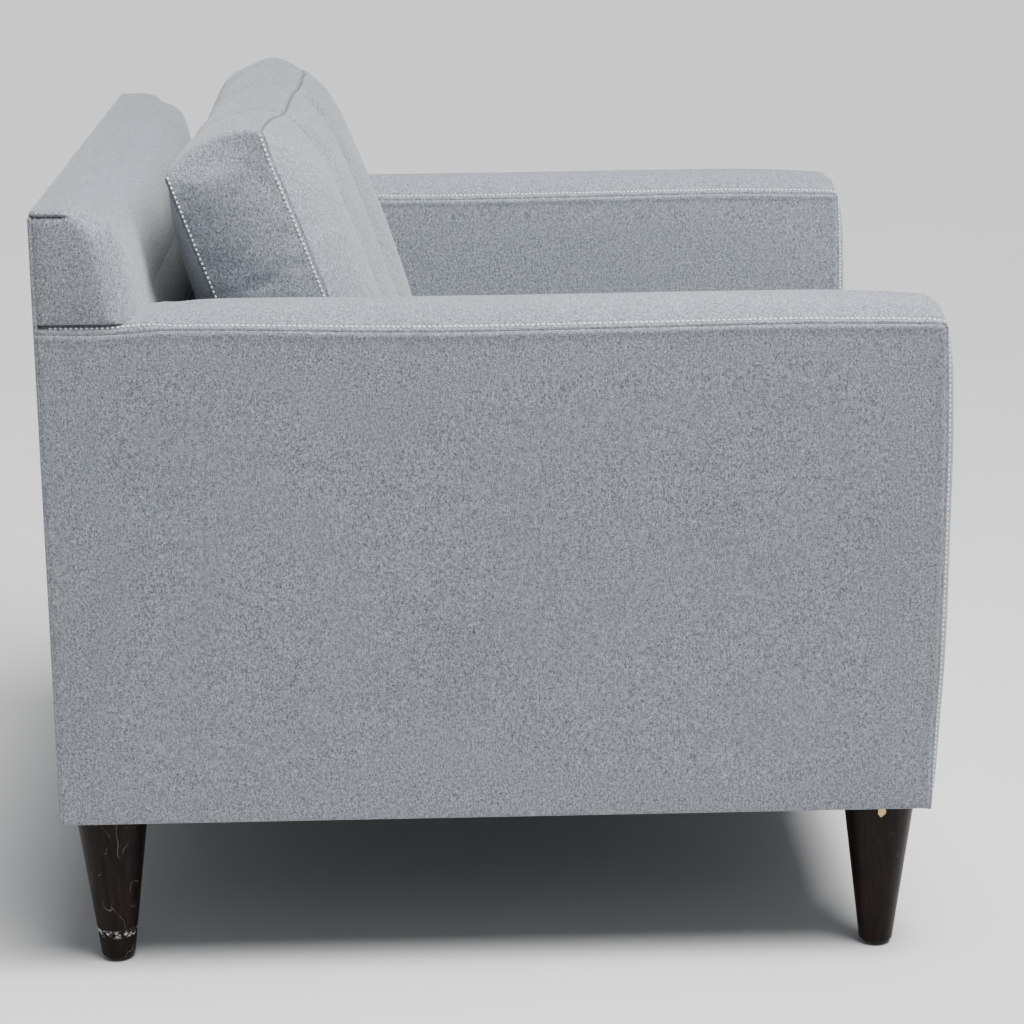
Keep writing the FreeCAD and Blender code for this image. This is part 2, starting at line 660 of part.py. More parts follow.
def build_seat_cushion():
    """Cover, foam core, zip and slider of the seat cushion. The zip is in the rear boxing."""
    points = seat_points()
    outer = cushion_body("seat_outer", points, "D.seat_wide", "D.seat_round")
    hollow = cushion_body("seat_hollow", inset(points, "D.cloth"), "D.seat_wide - 2 * D.cloth",
                          "D.seat_round - D.cloth")
    core_width = "D.seat_wide - 2 * D.cloth - 0.4"
    core = cushion_body("seat_core", inset(points, "(D.cloth + 0.2)"), core_width,
                        "D.seat_round - D.cloth - 0.2")
    level = "(D.seat_low + D.seat_high) / 2"
    slot_y = ("D.seat_rear - D.cloth - 0.1", "D.seat_rear + 1")
    slot_z = (level + " - D.zip_wide / 2", level + " + D.zip_wide / 2")
    slot = box(None, ("-D.zip_long / 2", "D.zip_long / 2"), slot_y, slot_z)
    cut(outer, [hollow, slot], "seat_cushion_cover")
    keep(core, "seat_cushion_core")
    tape_y = ("D.seat_rear - D.cloth", "D.seat_rear - 0.8")
    tape = box(None, ("-D.zip_long / 2", "D.zip_long / 2"), tape_y, slot_z)
    teeth_y = ("D.seat_rear - 0.8", "D.seat_rear")
    teeth = box(None, ("-D.zip_long / 2", "D.zip_long / 2"), teeth_y, (level + " - 2", level + " + 2"))
    join(tape, teeth, "seat_zip")
    slider = box(None, ("-D.zip_long / 2 + 8", "-D.zip_long / 2 + 19"),
                 ("D.seat_rear + 0.3", "D.seat_rear + 2.8"), (level + " - 4.5", level + " + 4.5"))
    tab = box(None, ("-D.zip_long / 2 + 18", "-D.zip_long / 2 + 42"),
              ("D.seat_rear + 1", "D.seat_rear + 2.4"), (level + " - 2.5", level + " + 2.5"))
    join(slider, tab, "seat_zip_slider")


def join(first, second, label):
    fused = doc.addObject("Part::Fuse", label)
    fused.Base, fused.Tool = first, second
    return keep(fused, label)


def build_back_cushion():
    """Cover, core, tuft twines, zip and slider of the back cushion. The zip is underneath."""
    points = pillow_points()
    outer = cushion_body("pillow_outer", points, "D.pillow_wide", "D.pillow_round")
    hollow = cushion_body("pillow_hollow", inset(points, "D.cloth"), "D.pillow_wide - 2 * D.cloth",
                          "D.pillow_round - D.cloth")
    core = cushion_body("pillow_core", inset(points, "(D.cloth + 0.3)"),
                        "D.pillow_wide - 2 * D.cloth - 0.6", "D.pillow_round - D.cloth - 0.3")
    middle = "D.pillow_y + (D.pillow_low - D.back_z) * tan(D.pillow_rake) + D.pillow_box / 2"
    zip_y = (middle + " - D.zip_wide / 2", middle + " + D.zip_wide / 2")
    zip_x = ("-D.zip_long / 2", "D.zip_long / 2")
    slot = box(None, zip_x, zip_y, ("D.pillow_low - 1", "D.pillow_low + D.cloth + 0.1"))
    bores, twines = [], []
    for sign in (-1, 1):
        bores.append(tuft_rod(sign, "1.6", "D.pillow_box + 90", "-45"))
        twines.append(tuft_rod(sign, "1", "D.pillow_box + 44", "-22"))
    cut(outer, [hollow, slot], "back_cushion_cover")
    cut(core, bores, "back_cushion_core")
    group("tuft_twines", twines)
    tape = box(None, zip_x, zip_y, ("D.pillow_low + 0.8", "D.pillow_low + D.cloth"))
    teeth = box(None, zip_x, (middle + " - 2", middle + " + 2"), ("D.pillow_low", "D.pillow_low + 0.8"))
    join(tape, teeth, "back_zip")
    slider = box(None, ("-D.zip_long / 2 + 8", "-D.zip_long / 2 + 19"),
                 (middle + " - 4.5", middle + " + 4.5"), ("D.pillow_low - 2.8", "D.pillow_low - 0.3"))
    tab = box(None, ("-D.zip_long / 2 + 18", "-D.zip_long / 2 + 42"),
              (middle + " - 2.5", middle + " + 2.5"), ("D.pillow_low - 2.4", "D.pillow_low - 1"))
    join(slider, tab, "back_zip_slider")


def tuft_rod(sign, radius, long, start):
    """A rod square to the back cushion's face, through one tuft."""
    rod = doc.addObject("Part::Cylinder", "tuft")
    face = "D.pillow_y + (D.tuft_z - D.back_z) * tan(D.pillow_rake)"
    bind(rod, Radius=radius, Height=long, x="%d * D.tuft_x" % sign)
    bind(rod, y="%s + (%s) * cos(D.pillow_rake)" % (face, start))
    bind(rod, z="D.tuft_z - (%s) * sin(D.pillow_rake)" % start)
    rod.Placement.Rotation = FreeCAD.Rotation(Vec(1, 0, 0), -90 - size("pillow_rake"))
    return rod


# ---------------------------------------------------------------- build, check and write

build_timber()
build_legs()
build_springs()
build_straps()
build_padding()
build_covers()
build_seat_cushion()
build_back_cushion()
doc.recompute()

for node in doc.Objects:
    if "Invalid" in node.State or "Error" in node.State:
        raise RuntimeError("%s (%s) failed: %s" % (node.Name, node.Label, node.State))
for node in parts:
    if node.Shape.isNull() or not node.Shape.isValid() or node.Shape.Volume <= 0:
        raise RuntimeError("%s has a bad shape" % node.Label)

os.makedirs("parts", exist_ok=True)
for node in parts:
    node.Shape.exportStep("parts/%s.step" % node.Label)
print("%d sub-parts" % len(parts))
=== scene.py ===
import json
import math
import bmesh
import bpy
from mathutils import Euler, Matrix, Vector, noise
from mathutils.bvhtree import BVHTree
from mathutils.kdtree import KDTree


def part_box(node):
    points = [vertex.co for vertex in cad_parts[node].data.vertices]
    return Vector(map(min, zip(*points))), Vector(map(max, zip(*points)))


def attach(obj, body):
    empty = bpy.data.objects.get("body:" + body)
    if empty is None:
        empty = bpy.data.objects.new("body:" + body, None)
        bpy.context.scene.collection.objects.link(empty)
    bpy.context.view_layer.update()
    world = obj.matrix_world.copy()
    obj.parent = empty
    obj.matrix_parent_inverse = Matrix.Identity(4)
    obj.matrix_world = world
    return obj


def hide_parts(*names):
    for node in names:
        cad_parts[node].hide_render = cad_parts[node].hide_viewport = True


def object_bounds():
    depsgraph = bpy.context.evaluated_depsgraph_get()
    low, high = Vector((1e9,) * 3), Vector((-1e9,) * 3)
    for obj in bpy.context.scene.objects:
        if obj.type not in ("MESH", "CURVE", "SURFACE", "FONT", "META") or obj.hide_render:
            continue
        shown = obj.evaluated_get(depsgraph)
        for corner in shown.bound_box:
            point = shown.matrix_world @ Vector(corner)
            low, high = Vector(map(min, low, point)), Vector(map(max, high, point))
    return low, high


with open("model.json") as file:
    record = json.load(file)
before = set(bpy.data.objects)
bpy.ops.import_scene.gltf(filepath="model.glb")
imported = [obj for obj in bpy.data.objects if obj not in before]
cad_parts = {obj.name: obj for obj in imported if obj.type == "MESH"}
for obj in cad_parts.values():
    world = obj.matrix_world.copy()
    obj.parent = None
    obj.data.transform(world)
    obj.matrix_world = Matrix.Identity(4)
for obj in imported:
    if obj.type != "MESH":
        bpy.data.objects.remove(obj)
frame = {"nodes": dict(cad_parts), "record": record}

cadLow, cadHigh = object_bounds()

# the CAD faces that the covers are built to
outerLow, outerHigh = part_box("arm_outer_panel_left")
innerLow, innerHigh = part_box("arm_inner_panel_left")
backLow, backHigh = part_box("back_cover")
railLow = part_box("front_rail_cover")[0]
halfWidth = outerHigh.x
armInside = innerLow.x
armWide = halfWidth - armInside
frontEdge = outerLow.y
rearEdge = cadHigh.y
boxBottom = outerLow.z
seamLevel = outerHigh.z
backTop = backHigh.z


# small helpers

def clamp(value, low=0.0, high=1.0):
    return max(low, min(high, value))


def mix(first, second, share):
    return first + (second - first) * share


def ease(share):
    share = clamp(share)
    return share * share * (3 - 2 * share)


def readCurve(points, at):  # smooth value of a short list of (place, value) pairs
    if at <= points[0][0]:
        return points[0][1]
    for index in range(1, len(points)):
        (startAt, start), (endAt, end) = points[index - 1], points[index]
        if at <= endAt:
            width, share = endAt - startAt, (at - startAt) / (endAt - startAt)
            before, after = points[max(index - 2, 0)], points[min(index + 1, len(points) - 1)]
            slopeIn = (end - before[1]) / (endAt - before[0]) * width
            slopeOut = (after[1] - start) / (after[0] - startAt) * width
            back = 1 - share
            return ((1 + 2 * share) * back * back * start + share * back * back * slopeIn
                    + share * share * (3 - 2 * share) * end - share * share * back * slopeOut)
    return points[-1][1]


def ripple(x, y, z, seed):  # repeatable soft noise, -1 to 1
    return noise.noise(Vector((x, y, z + seed * 7.3)))


def squareToRound(px, pz, halfX, halfZ, radius):  # rounds the corners of a rectangle of points
    coreX = clamp(px, radius - halfX, halfX - radius)
    coreZ = clamp(pz, radius - halfZ, halfZ - radius)
    overX, overZ = px - coreX, pz - coreZ
    if overX and overZ:
        share = max(abs(overX), abs(overZ)) / math.hypot(overX, overZ)
        return coreX + overX * share, coreZ + overZ * share
    return px, pz


def roundedBox(point, half, radius):  # moves a box's point on to the same box with round edges
    core = Vector([clamp(point[i], radius - half[i], half[i] - radius) for i in range(3)])
    over = point - core
    if over.length > 1e-9:
        over = over.normalized() * radius
    return core + over


def crowded(share, power=2.0):  # -1..1, with the points closer together at both ends
    return math.copysign(1 - (1 - abs(share)) ** power, share)


def bell(away, width):  # 1 at no distance, fading out smoothly over the width
    return math.exp(-(away / width) ** 2)


def makeObject(name, bm, material, smooth=True):
    mesh = bpy.data.meshes.new(name)
    bm.to_mesh(mesh)
    bm.free()
    for polygon in mesh.polygons:
        polygon.use_smooth = smooth
    piece = bpy.data.objects.new(name, mesh)
    bpy.context.scene.collection.objects.link(piece)
    mesh.materials.append(material)
    return piece


def boxForm(cells):  # a hollow cube, -1 to 1, cut into cells along x, y and z
    bm = bmesh.new()
    bmesh.ops.create_cube(bm, size=2)
    for axis in range(3):
        run = [e for e in bm.edges if abs(e.verts[0].co[axis] - e.verts[1].co[axis]) > 1.5]
        bmesh.ops.subdivide_edges(bm, edges=run, cuts=cells[axis] - 1, use_grid_fill=True)
    return bm


def gridForm(across, down):  # a flat sheet, 0 to 1 in x and y
    bm = bmesh.new()
    bmesh.ops.create_grid(bm, x_segments=across, y_segments=down, size=0.5)
    bmesh.ops.translate(bm, verts=bm.verts, vec=(0.5, 0.5, 0))
    return bm


def finishPiece(piece, body, nodes=()):
    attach(piece, body)
    if nodes:
        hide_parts(*nodes)


def addSubdivision(piece):
    modifier = piece.modifiers.new("Subdivision", "SUBSURF")
    modifier.levels = modifier.render_levels = 1


def addThickness(piece, thickness):
    modifier = piece.modifiers.new("Solidify", "SOLIDIFY")
    modifier.thickness = thickness
    modifier.offset = -1


def softenEdges(bm, edges, offset):
    bmesh.ops.bevel(bm, geom=edges, offset=offset, affect="EDGES", segments=2, profile=0.5, material=-1)


# shader groups

def newGroup(name, inputs, outputs):
    group = bpy.data.node_groups.new(name, "ShaderNodeTree")
    for label, kind, value in inputs:
        socket = group.interface.new_socket(label, in_out="INPUT", socket_type=kind)
        socket.default_value = value
    for label, kind in outputs:
        group.interface.new_socket(label, in_out="OUTPUT", socket_type=kind)
    return group, group.nodes.new("NodeGroupInput"), group.nodes.new("NodeGroupOutput")


def addNode(tree, kind, settings=None, **links):  # a node, its settings and what feeds its sockets
    node = tree.nodes.new(kind)
    for key, value in (settings or {}).items():
        setattr(node, key, value)
    for key, source in links.items():
        socket = node.inputs[int(key[1:])] if key[0] == "i" and key[1:].isdigit() else node.inputs[key]
        if isinstance(source, bpy.types.NodeSocket):
            tree.links.new(source, socket)
        else:
            socket.default_value = source
    return node


def calc(tree, operation, first, second=0.0, limit=False):
    settings = {"operation": operation, "use_clamp": limit}
    return addNode(tree, "ShaderNodeMath", settings, i0=first, i1=second).outputs[0]


def plus(tree, first, second, limit=False):
    return calc(tree, "ADD", first, second, limit)


def times(tree, first, second, limit=False):
    return calc(tree, "MULTIPLY", first, second, limit)


def apart(tree, first, second):  # the distance between two values
    return calc(tree, "ABSOLUTE", calc(tree, "SUBTRACT", first, second))


def objectPlace(tree):
    return tree.nodes.new("ShaderNodeTexCoord").outputs["Object"]


def stretched(tree, x=1, y=1, z=1):  # object coordinates, scaled
    return addNode(tree, "ShaderNodeMapping", None, Vector=objectPlace(tree), Scale=(x, y, z)).outputs[0]


def sizedPlace(tree, size, z):  # object coordinates scaled by a group's own input
    node = addNode(tree, "ShaderNodeVectorMath", {"operation": "SCALE"}, i0=stretched(tree, z=z), Scale=size)
    return node.outputs[0]


def cloud(tree, vector, scale, detail=2.0, rough=0.5):
    wanted = {"Vector": vector, "Scale": scale, "Detail": detail, "Roughness": rough}
    return addNode(tree, "ShaderNodeTexNoise", None, **wanted).outputs[0]


def between(tree, value, low, high):  # 0 below low, 1 above high
    wanted = {"Value": value, "From Min": low, "From Max": high}
    return addNode(tree, "ShaderNodeMapRange", {"interpolation_type": "SMOOTHSTEP"}, **wanted).outputs[0]


def blendColour(tree, share, first, second, kind="MIX"):
    settings = {"data_type": "RGBA", "blend_type": kind}
    return addNode(tree, "ShaderNodeMix", settings, i0=share, i6=first, i7=second).outputs[2]


def opaque(colour, share=1.0):
    return tuple(share * c for c in colour) + (1,)


def wireOut(group, out, **sources):
    for label, source in sources.items():
        group.links.new(source, out.inputs[label])


# scales of the patterns, finer as they rise, then the weave's height and the worn ring's width
clothLook = {"yarn": 1050, "coarseYarn": 430, "patches": 9, "hue": 120, "weave": 5700.0, "weaveHeight": 0.10}
woodLook = {"fibres": 240, "pores": 900, "scratches": 60, "patches": 45, "scuff": 170, "scuffWide": 0.005}
surfaceOutputs = [
    ("Colour", "NodeSocketColor"), ("Roughness", "NodeSocketFloat"), ("Height", "NodeSocketFloat"),
]


def makeHeatherGroup():  # melange cloth: mixed yarn, small flecks, a fine even weave, and painted shade in seams and folds
    group, given, out = newGroup("heatherCloth", [
        ("Base", "NodeSocketColor", (0.26, 0.29, 0.33, 1)),
        ("Dark Yarn", "NodeSocketColor", (0.10, 0.11, 0.13, 1)),
        ("Pale Yarn", "NodeSocketColor", (0.50, 0.53, 0.57, 1)),
        ("Fleck Size", "NodeSocketFloat", 1.0),
        ("Flecks", "NodeSocketFloat", 1.0),
        ("Soiling", "NodeSocketFloat", 0.1),
    ], surfaceOutputs)
    wanted = given.outputs
    vector = sizedPlace(group, wanted["Fleck Size"], 0.75)
    yarn = cloud(group, vector, clothLook["yarn"], 3, 0.60)
    coarse = cloud(group, vector, clothLook["coarseYarn"])
    patch = cloud(group, stretched(group), clothLook["patches"], 3)
    mixed = plus(group, times(group, yarn, 0.7), times(group, coarse, 0.3))
    dark = times(group, between(group, mixed, 0.49, 0.38), wanted["Flecks"], limit=True)
    pale = times(group, between(group, mixed, 0.51, 0.62), wanted["Flecks"], limit=True)
    colour = blendColour(group, dark, wanted["Base"], wanted["Dark Yarn"])
    colour = blendColour(group, pale, colour, wanted["Pale Yarn"])
    hue = between(group, cloud(group, vector, clothLook["hue"], 1), 0.42, 0.6)
    warm = blendColour(group, hue, (0.985, 0.995, 1.01, 1), (1.01, 1.0, 0.99, 1))
    colour = blendColour(group, 0.8, colour, warm, "MULTIPLY")
    worn = times(group, between(group, patch, 0.42, 0.72), wanted["Soiling"])
    colour = blendColour(group, worn, colour, (0.62, 0.60, 0.57, 1), "MULTIPLY")
    # painted shade: the cloth is darkened in a seam or a fold, as far as the piece's own attribute says
    paintedShade = addNode(group, "ShaderNodeAttribute", {"attribute_name": "paintedSeamShade"}).outputs["Fac"]
    colour = blendColour(group, paintedShade, colour, (0.16, 0.16, 0.17, 1), "MULTIPLY")
    axes = addNode(group, "ShaderNodeSeparateXYZ", None, i0=objectPlace(group))
    waves = [calc(group, "SINE", times(group, axis, clothLook["weave"])) for axis in axes.outputs]
    weave = times(group, plus(group, plus(group, waves[0], waves[1]), waves[2]), clothLook["weaveHeight"])
    wireOut(group, out, Colour=colour, Roughness=plus(group, 0.78, times(group, yarn, 0.2)),
            Height=plus(group, weave, times(group, mixed, 1.5)))
    return group


def makeGrainGroup():  # wood grain along the piece's height, with pores, hair scratches and a worn ring
    group, given, out = newGroup("woodGrain", [
        ("Light", "NodeSocketColor", (0.03, 0.02, 0.015, 1)),
        ("Dark", "NodeSocketColor", (0.008, 0.006, 0.005, 1)),
        ("Scale", "NodeSocketFloat", 1.0),
        ("Scratches", "NodeSocketFloat", 0.2),
        ("Scuff", "NodeSocketFloat", 0.0),
        ("Scuff Height", "NodeSocketFloat", 0.03),
        ("Roughness", "NodeSocketFloat", 0.3),
    ], surfaceOutputs)
    wanted = given.outputs
    vector = sizedPlace(group, wanted["Scale"], 0.06)
    fibres = cloud(group, vector, woodLook["fibres"], 4, 0.6)
    pores = cloud(group, vector, woodLook["pores"])
    colour = blendColour(group, between(group, fibres, 0.35, 0.65), wanted["Dark"], wanted["Light"])
    poreShare = times(group, between(group, pores, 0.58, 0.7), 0.5)
    colour = blendColour(group, poreShare, colour, wanted["Dark"])
    # hair scratches: thin contour lines of a long noise, only in some patches
    lines = cloud(group, stretched(group, z=0.45), woodLook["scratches"], 1, 0.4)
    thin = between(group, apart(group, lines, 0.5), 0.006, 0.0015)
    patches = between(group, cloud(group, stretched(group), woodLook["patches"], 2, 0.6), 0.52, 0.62)
    scratch = times(group, times(group, thin, patches), wanted["Scratches"], limit=True)
    axes = addNode(group, "ShaderNodeSeparateXYZ", None, i0=objectPlace(group))
    away = apart(group, axes.outputs["Z"], wanted["Scuff Height"])
    broken = between(group, cloud(group, stretched(group, z=1.6), woodLook["scuff"], 3, 0.7), 0.50, 0.60)
    ring = times(group, between(group, away, woodLook["scuffWide"], 0.001), broken)
    ring = times(group, ring, wanted["Scuff"], limit=True)
    colour = blendColour(group, times(group, scratch, 0.55), colour, (0.34, 0.30, 0.27, 1))
    colour = blendColour(group, ring, colour, (0.50, 0.50, 0.48, 1))
    rough = plus(group, wanted["Roughness"], times(group, pores, 0.12))
    rough = plus(group, rough, times(group, plus(group, scratch, ring), 0.35), limit=True)
    height = calc(group, "SUBTRACT", times(group, fibres, 0.5), times(group, scratch, 0.8))
    wireOut(group, out, Colour=colour, Roughness=rough, Height=height)
    return group


heatherGroup = makeHeatherGroup()
grainGroup = makeGrainGroup()
print("shader groups made")


def newMaterial(name, settings=None):
    material = bpy.data.materials.new(name)
    material.use_nodes = True
    shader = material.node_tree.nodes["Principled BSDF"]
    for key, value in (settings or {}).items():
        shader.inputs[key].default_value = value
    return material, material.node_tree, shader


def wireUp(tree, shader, source, distance, strength):  # colour, roughness and bump into the shader
    tree.links.new(source["Colour"], shader.inputs["Base Color"])
    tree.links.new(source["Roughness"], shader.inputs["Roughness"])
    height = source["Height"]
    bump = addNode(tree, "ShaderNodeBump", None, Height=height, Distance=distance, Strength=strength)
    tree.links.new(bump.outputs[0], shader.inputs["Normal"])


def placeGroup(tree, group, values):
    node = tree.nodes.new("ShaderNodeGroup")
    node.node_tree = group
    for key, value in values.items():
        node.inputs[key].default_value = value
    return node.outputs


def clothMaterial(name, values, sheen=0.35):
    material, tree, shader = newMaterial(name, {
        "Sheen Weight": sheen, "Sheen Roughness": 0.55, "Specular IOR Level": 0.25,
    })
    wireUp(tree, shader, placeGroup(tree, heatherGroup, values), 0.0008, 0.55)
    return material


def woodMaterial(name, values, coat=0.0, gloss=0.5):
    material, tree, shader = newMaterial(name, {
        "Coat Weight": coat, "Coat Roughness": 0.16, "Specular IOR Level": gloss,
    })
    wireUp(tree, shader, placeGroup(tree, grainGroup, values), 0.0004, 0.35)
    return material


upholstery = {
    "Base": (0.188, 0.206, 0.232, 1), "Dark Yarn": (0.058, 0.063, 0.071, 1),
    "Pale Yarn": (0.385, 0.410, 0.445, 1), "Soiling": 0.12,
}
coverCloth = clothMaterial("coverCloth", upholstery)
deckLining = clothMaterial("deckLining", {
    "Base": (0.17, 0.18, 0.19, 1), "Dark Yarn": (0.12, 0.125, 0.13, 1),
    "Pale Yarn": (0.24, 0.25, 0.26, 1), "Fleck Size": 0.6,
}, sheen=0.1)
dustLining = clothMaterial("dustLining", {
    "Base": (0.022, 0.022, 0.023, 1), "Dark Yarn": (0.010, 0.010, 0.010, 1),
    "Pale Yarn": (0.045, 0.045, 0.047, 1), "Fleck Size": 0.5,
}, sheen=0.1)
zipCloth = clothMaterial("zipCloth", {
    "Base": (0.15, 0.17, 0.19, 1), "Dark Yarn": (0.09, 0.10, 0.11, 1), "Pale Yarn": (0.22, 0.24, 0.26, 1),
    "Fleck Size": 2.0,
}, sheen=0.1)
strapCloth = clothMaterial("strapCloth", {
    "Base": (0.36, 0.30, 0.21, 1), "Dark Yarn": (0.16, 0.13, 0.10, 1), "Pale Yarn": (0.50, 0.44, 0.34, 1),
    "Fleck Size": 1.6,
}, sheen=0.1)
rawTimber = woodMaterial("rawTimber", {
    "Light": (0.56, 0.41, 0.24, 1), "Dark": (0.36, 0.24, 0.13, 1), "Scale": 0.5, "Roughness": 0.6,
})


def foamMaterial(name, colour):
    material, tree, shader = newMaterial(name, {"Sheen Weight": 0.1})
    cells = addNode(tree, "ShaderNodeTexVoronoi", None, Vector=stretched(tree), Scale=700.0).outputs[0]
    tone = cloud(tree, stretched(tree), 14, 3)
    shade = blendColour(tree, cells, opaque(colour, 0.6), opaque(colour))
    shade = blendColour(tree, times(tree, tone, 0.3), shade, (0.75, 0.62, 0.38, 1))
    rough = plus(tree, 0.85, times(tree, tone, 0.1))
    wireUp(tree, shader, {"Colour": shade, "Roughness": rough, "Height": cells}, 0.0006, 0.6)
    return material


def metalMaterial(name, colour, metallic, rough):
    material, tree, shader = newMaterial(name, {"Metallic": metallic})
    stain = cloud(tree, stretched(tree), 55, 4, 0.6)
    fine = cloud(tree, stretched(tree, y=0.15), 900)
    shade = blendColour(tree, between(tree, stain, 0.4, 0.7), opaque(colour), opaque(colour, 0.6))
    roughness = plus(tree, rough, times(tree, stain, 0.25))
    wireUp(tree, shader, {"Colour": shade, "Roughness": roughness, "Height": fine}, 0.0002, 0.3)
    return material


def threadMaterial(name, colour):
    material, tree, shader = newMaterial(name, {"Sheen Weight": 0.2})
    twist = addNode(tree, "ShaderNodeTexWave", None, Vector=stretched(tree), Scale=700.0, Distortion=2.0)
    tone = cloud(tree, stretched(tree), 90)
    shade = blendColour(tree, tone, opaque(colour, 0.82), opaque(colour))
    rough = plus(tree, 0.5, times(tree, tone, 0.2))
    wireUp(tree, shader, {"Colour": shade, "Roughness": rough, "Height": twist.outputs[1]}, 0.0002, 0.5)
    return material


foam = foamMaterial("foam", (0.80, 0.74, 0.60))
platedSteel = metalMaterial("platedSteel", (0.56, 0.56, 0.55), 1.0, 0.28)
springSteel = metalMaterial("springSteel", (0.13, 0.13, 0.14), 0.9, 0.38)
sliderMetal = metalMaterial("sliderMetal", (0.20, 0.21, 0.22), 0.9, 0.30)
glidePlastic = metalMaterial("glidePlastic", (0.05, 0.05, 0.05), 0.0, 0.45)
paleThread = threadMaterial("paleThread", (0.93, 0.93, 0.92))
twineThread = threadMaterial("twineThread", (0.45, 0.42, 0.38))
print("materials made")


# stitches

stitch = {"pitch": 0.0047, "length": 0.0033, "radius": 0.00108, "flat": 0.8, "sink": 0.35}


def addStitch(bm, place, along, outward):
    along = along.normalized()
    side = outward.cross(along).normalized()
    turn = Matrix((along, side, along.cross(side))).transposed().to_4x4()
    shape = Matrix.Diagonal((stitch["length"] / 2, stitch["radius"], stitch["radius"] * stitch["flat"], 1))
    centre = Matrix.Translation(place + outward * stitch["radius"] * stitch["sink"])
    bmesh.ops.create_icosphere(bm, subdivisions=1, radius=1.0, matrix=centre @ turn @ shape)


def sewAlong(bm, points, outwards):  # even stitches along a line of points
    runs = [0.0]
    for start, end in zip(points, points[1:]):
        runs.append(runs[-1] + (end - start).length)
    count = int(runs[-1] / stitch["pitch"])
    at = 0
    for index in range(count):
        wanted = (index + 0.5) * runs[-1] / count
        while at < len(runs) - 2 and runs[at + 1] < wanted:
            at += 1
        share = (wanted - runs[at]) / max(runs[at + 1] - runs[at], 1e-9)
        place = points[at].lerp(points[at + 1], share)
        outward = outwards[at].lerp(outwards[at + 1], share).normalized()
        addStitch(bm, place, points[at + 1] - points[at], outward)


# arms: a crowned band over the top and front, and a soft panel on each side

arm = {
    "edgeRoll": 0.0030,      # roundness of a panel's edge
    "ridge": 0.0011,         # the seam allowance showing as a ridge below the seam
    "ridgeAt": 0.0042,       # the ridge's distance from the panel's edge
    "ridgeWide": 0.0026,
    "panelSwell": 0.0022,    # how far a panel swells beyond its edges
    "waver": 0.0012,         # how uneven a panel's face is
    "cornerRadius": 0.006,
    "rearGap": 0.002,        # how far the band stops before the chair's rear
    "seamGap": 0.0013,       # how far a panel stays off the seam line
    "hem": 0.002,            # how far the covers reach below the frame
    "bandEdge": 0.0004,      # how far the band's edges stand inside the arm's faces
    "bandTuck": 0.0013,      # how far the band draws in at its seams
    "bandRoll": 0.0042,      # how deep the band tucks into its seams
    "rollShare": 0.10,       # the share of the band's width that tucks in
    "spread": 1.15,          # crowds the band's columns towards its seams
    "pinch": 0.0028,         # the band's rise at the front corner
    "stitchIn": 0.0036,      # topstitch's distance from the seam
    "stitchSink": 0.0008,    # the dip that the topstitch draws
    "rows": (90, 8, 56),     # mesh rows along the top, round the corner and down the front
    "columns": 44,
}
# the seams' line: its height by y along the top, then its y by height down the front
seamTop = [(-0.4075, 0.6290), (-0.390, 0.6298), (-0.280, 0.6316), (-0.150, 0.6305), (0.030, 0.6290),
           (0.113, 0.6300), (0.200, 0.6326), (0.300, 0.6345), (0.330, 0.6325), (0.360, 0.6310),
           (0.419, 0.6320)]
seamFront = [(0.150, -0.4110), (0.224, -0.4120), (0.300, -0.4150), (0.490, -0.4165), (0.556, -0.4155),
             (0.608, -0.4140), (0.623, -0.4135)]
# the band's rise above that line
riseTop = [(-0.4075, 0.0100), (-0.402, 0.0148), (-0.394, 0.0162), (-0.375, 0.0170), (-0.355, 0.0180),
           (-0.27, 0.0192), (0.03, 0.0212), (0.20, 0.0182), (0.27, 0.0162), (0.297, 0.0132), (0.318, 0.0098),
           (0.34, 0.0086), (0.419, 0.0080)]
riseFront = [(0.150, 0.0020), (0.19, 0.0066), (0.26, 0.0085), (0.50, 0.0090), (0.58, 0.0085), (0.603, 0.0070),
             (0.616, 0.0048), (0.623, 0.0036)]


def bandPath():  # lengths of the seam line's three runs: top, corner and front
    top = rearEdge - arm["rearGap"] - seamTop[0][0]
    front = seamFront[-1][0] - boxBottom + arm["hem"]
    return top, arm["cornerRadius"] * math.pi / 2, front


def seamPoint(run):  # y, z and the outward direction of the arm's seam at a length from the rear
    top, bend, front = bandPath()
    radius = arm["cornerRadius"]
    if run < top:
        y = rearEdge - arm["rearGap"] - run
        return y, readCurve(seamTop, y), 0.0
    if run < top + bend:
        angle = (run - top) / radius
        return seamTop[0][0] - radius * math.sin(angle), seamFront[-1][0] + radius * math.cos(angle), angle
    z = seamFront[-1][0] - (run - top - bend)
    return readCurve(seamFront, z), z, math.pi / 2


def crownAt(run):  # rise of the band above its seams, and how boxy its section is
    y, z, angle = seamPoint(run)
    if angle == 0:
        return readCurve(riseTop, y), mix(2.3, 11, ease((y - 0.29) / 0.04))
    if angle < math.pi / 2:
        share = angle / math.pi * 4
        if share < 1:
            return mix(riseTop[0][1], arm["pinch"], ease(share)), 3.0
        return mix(arm["pinch"], riseFront[-1][1], ease(share - 1)), 3.0
    return readCurve(riseFront, z), mix(4.5, 3.0, ease((z - 0.58) / 0.04))


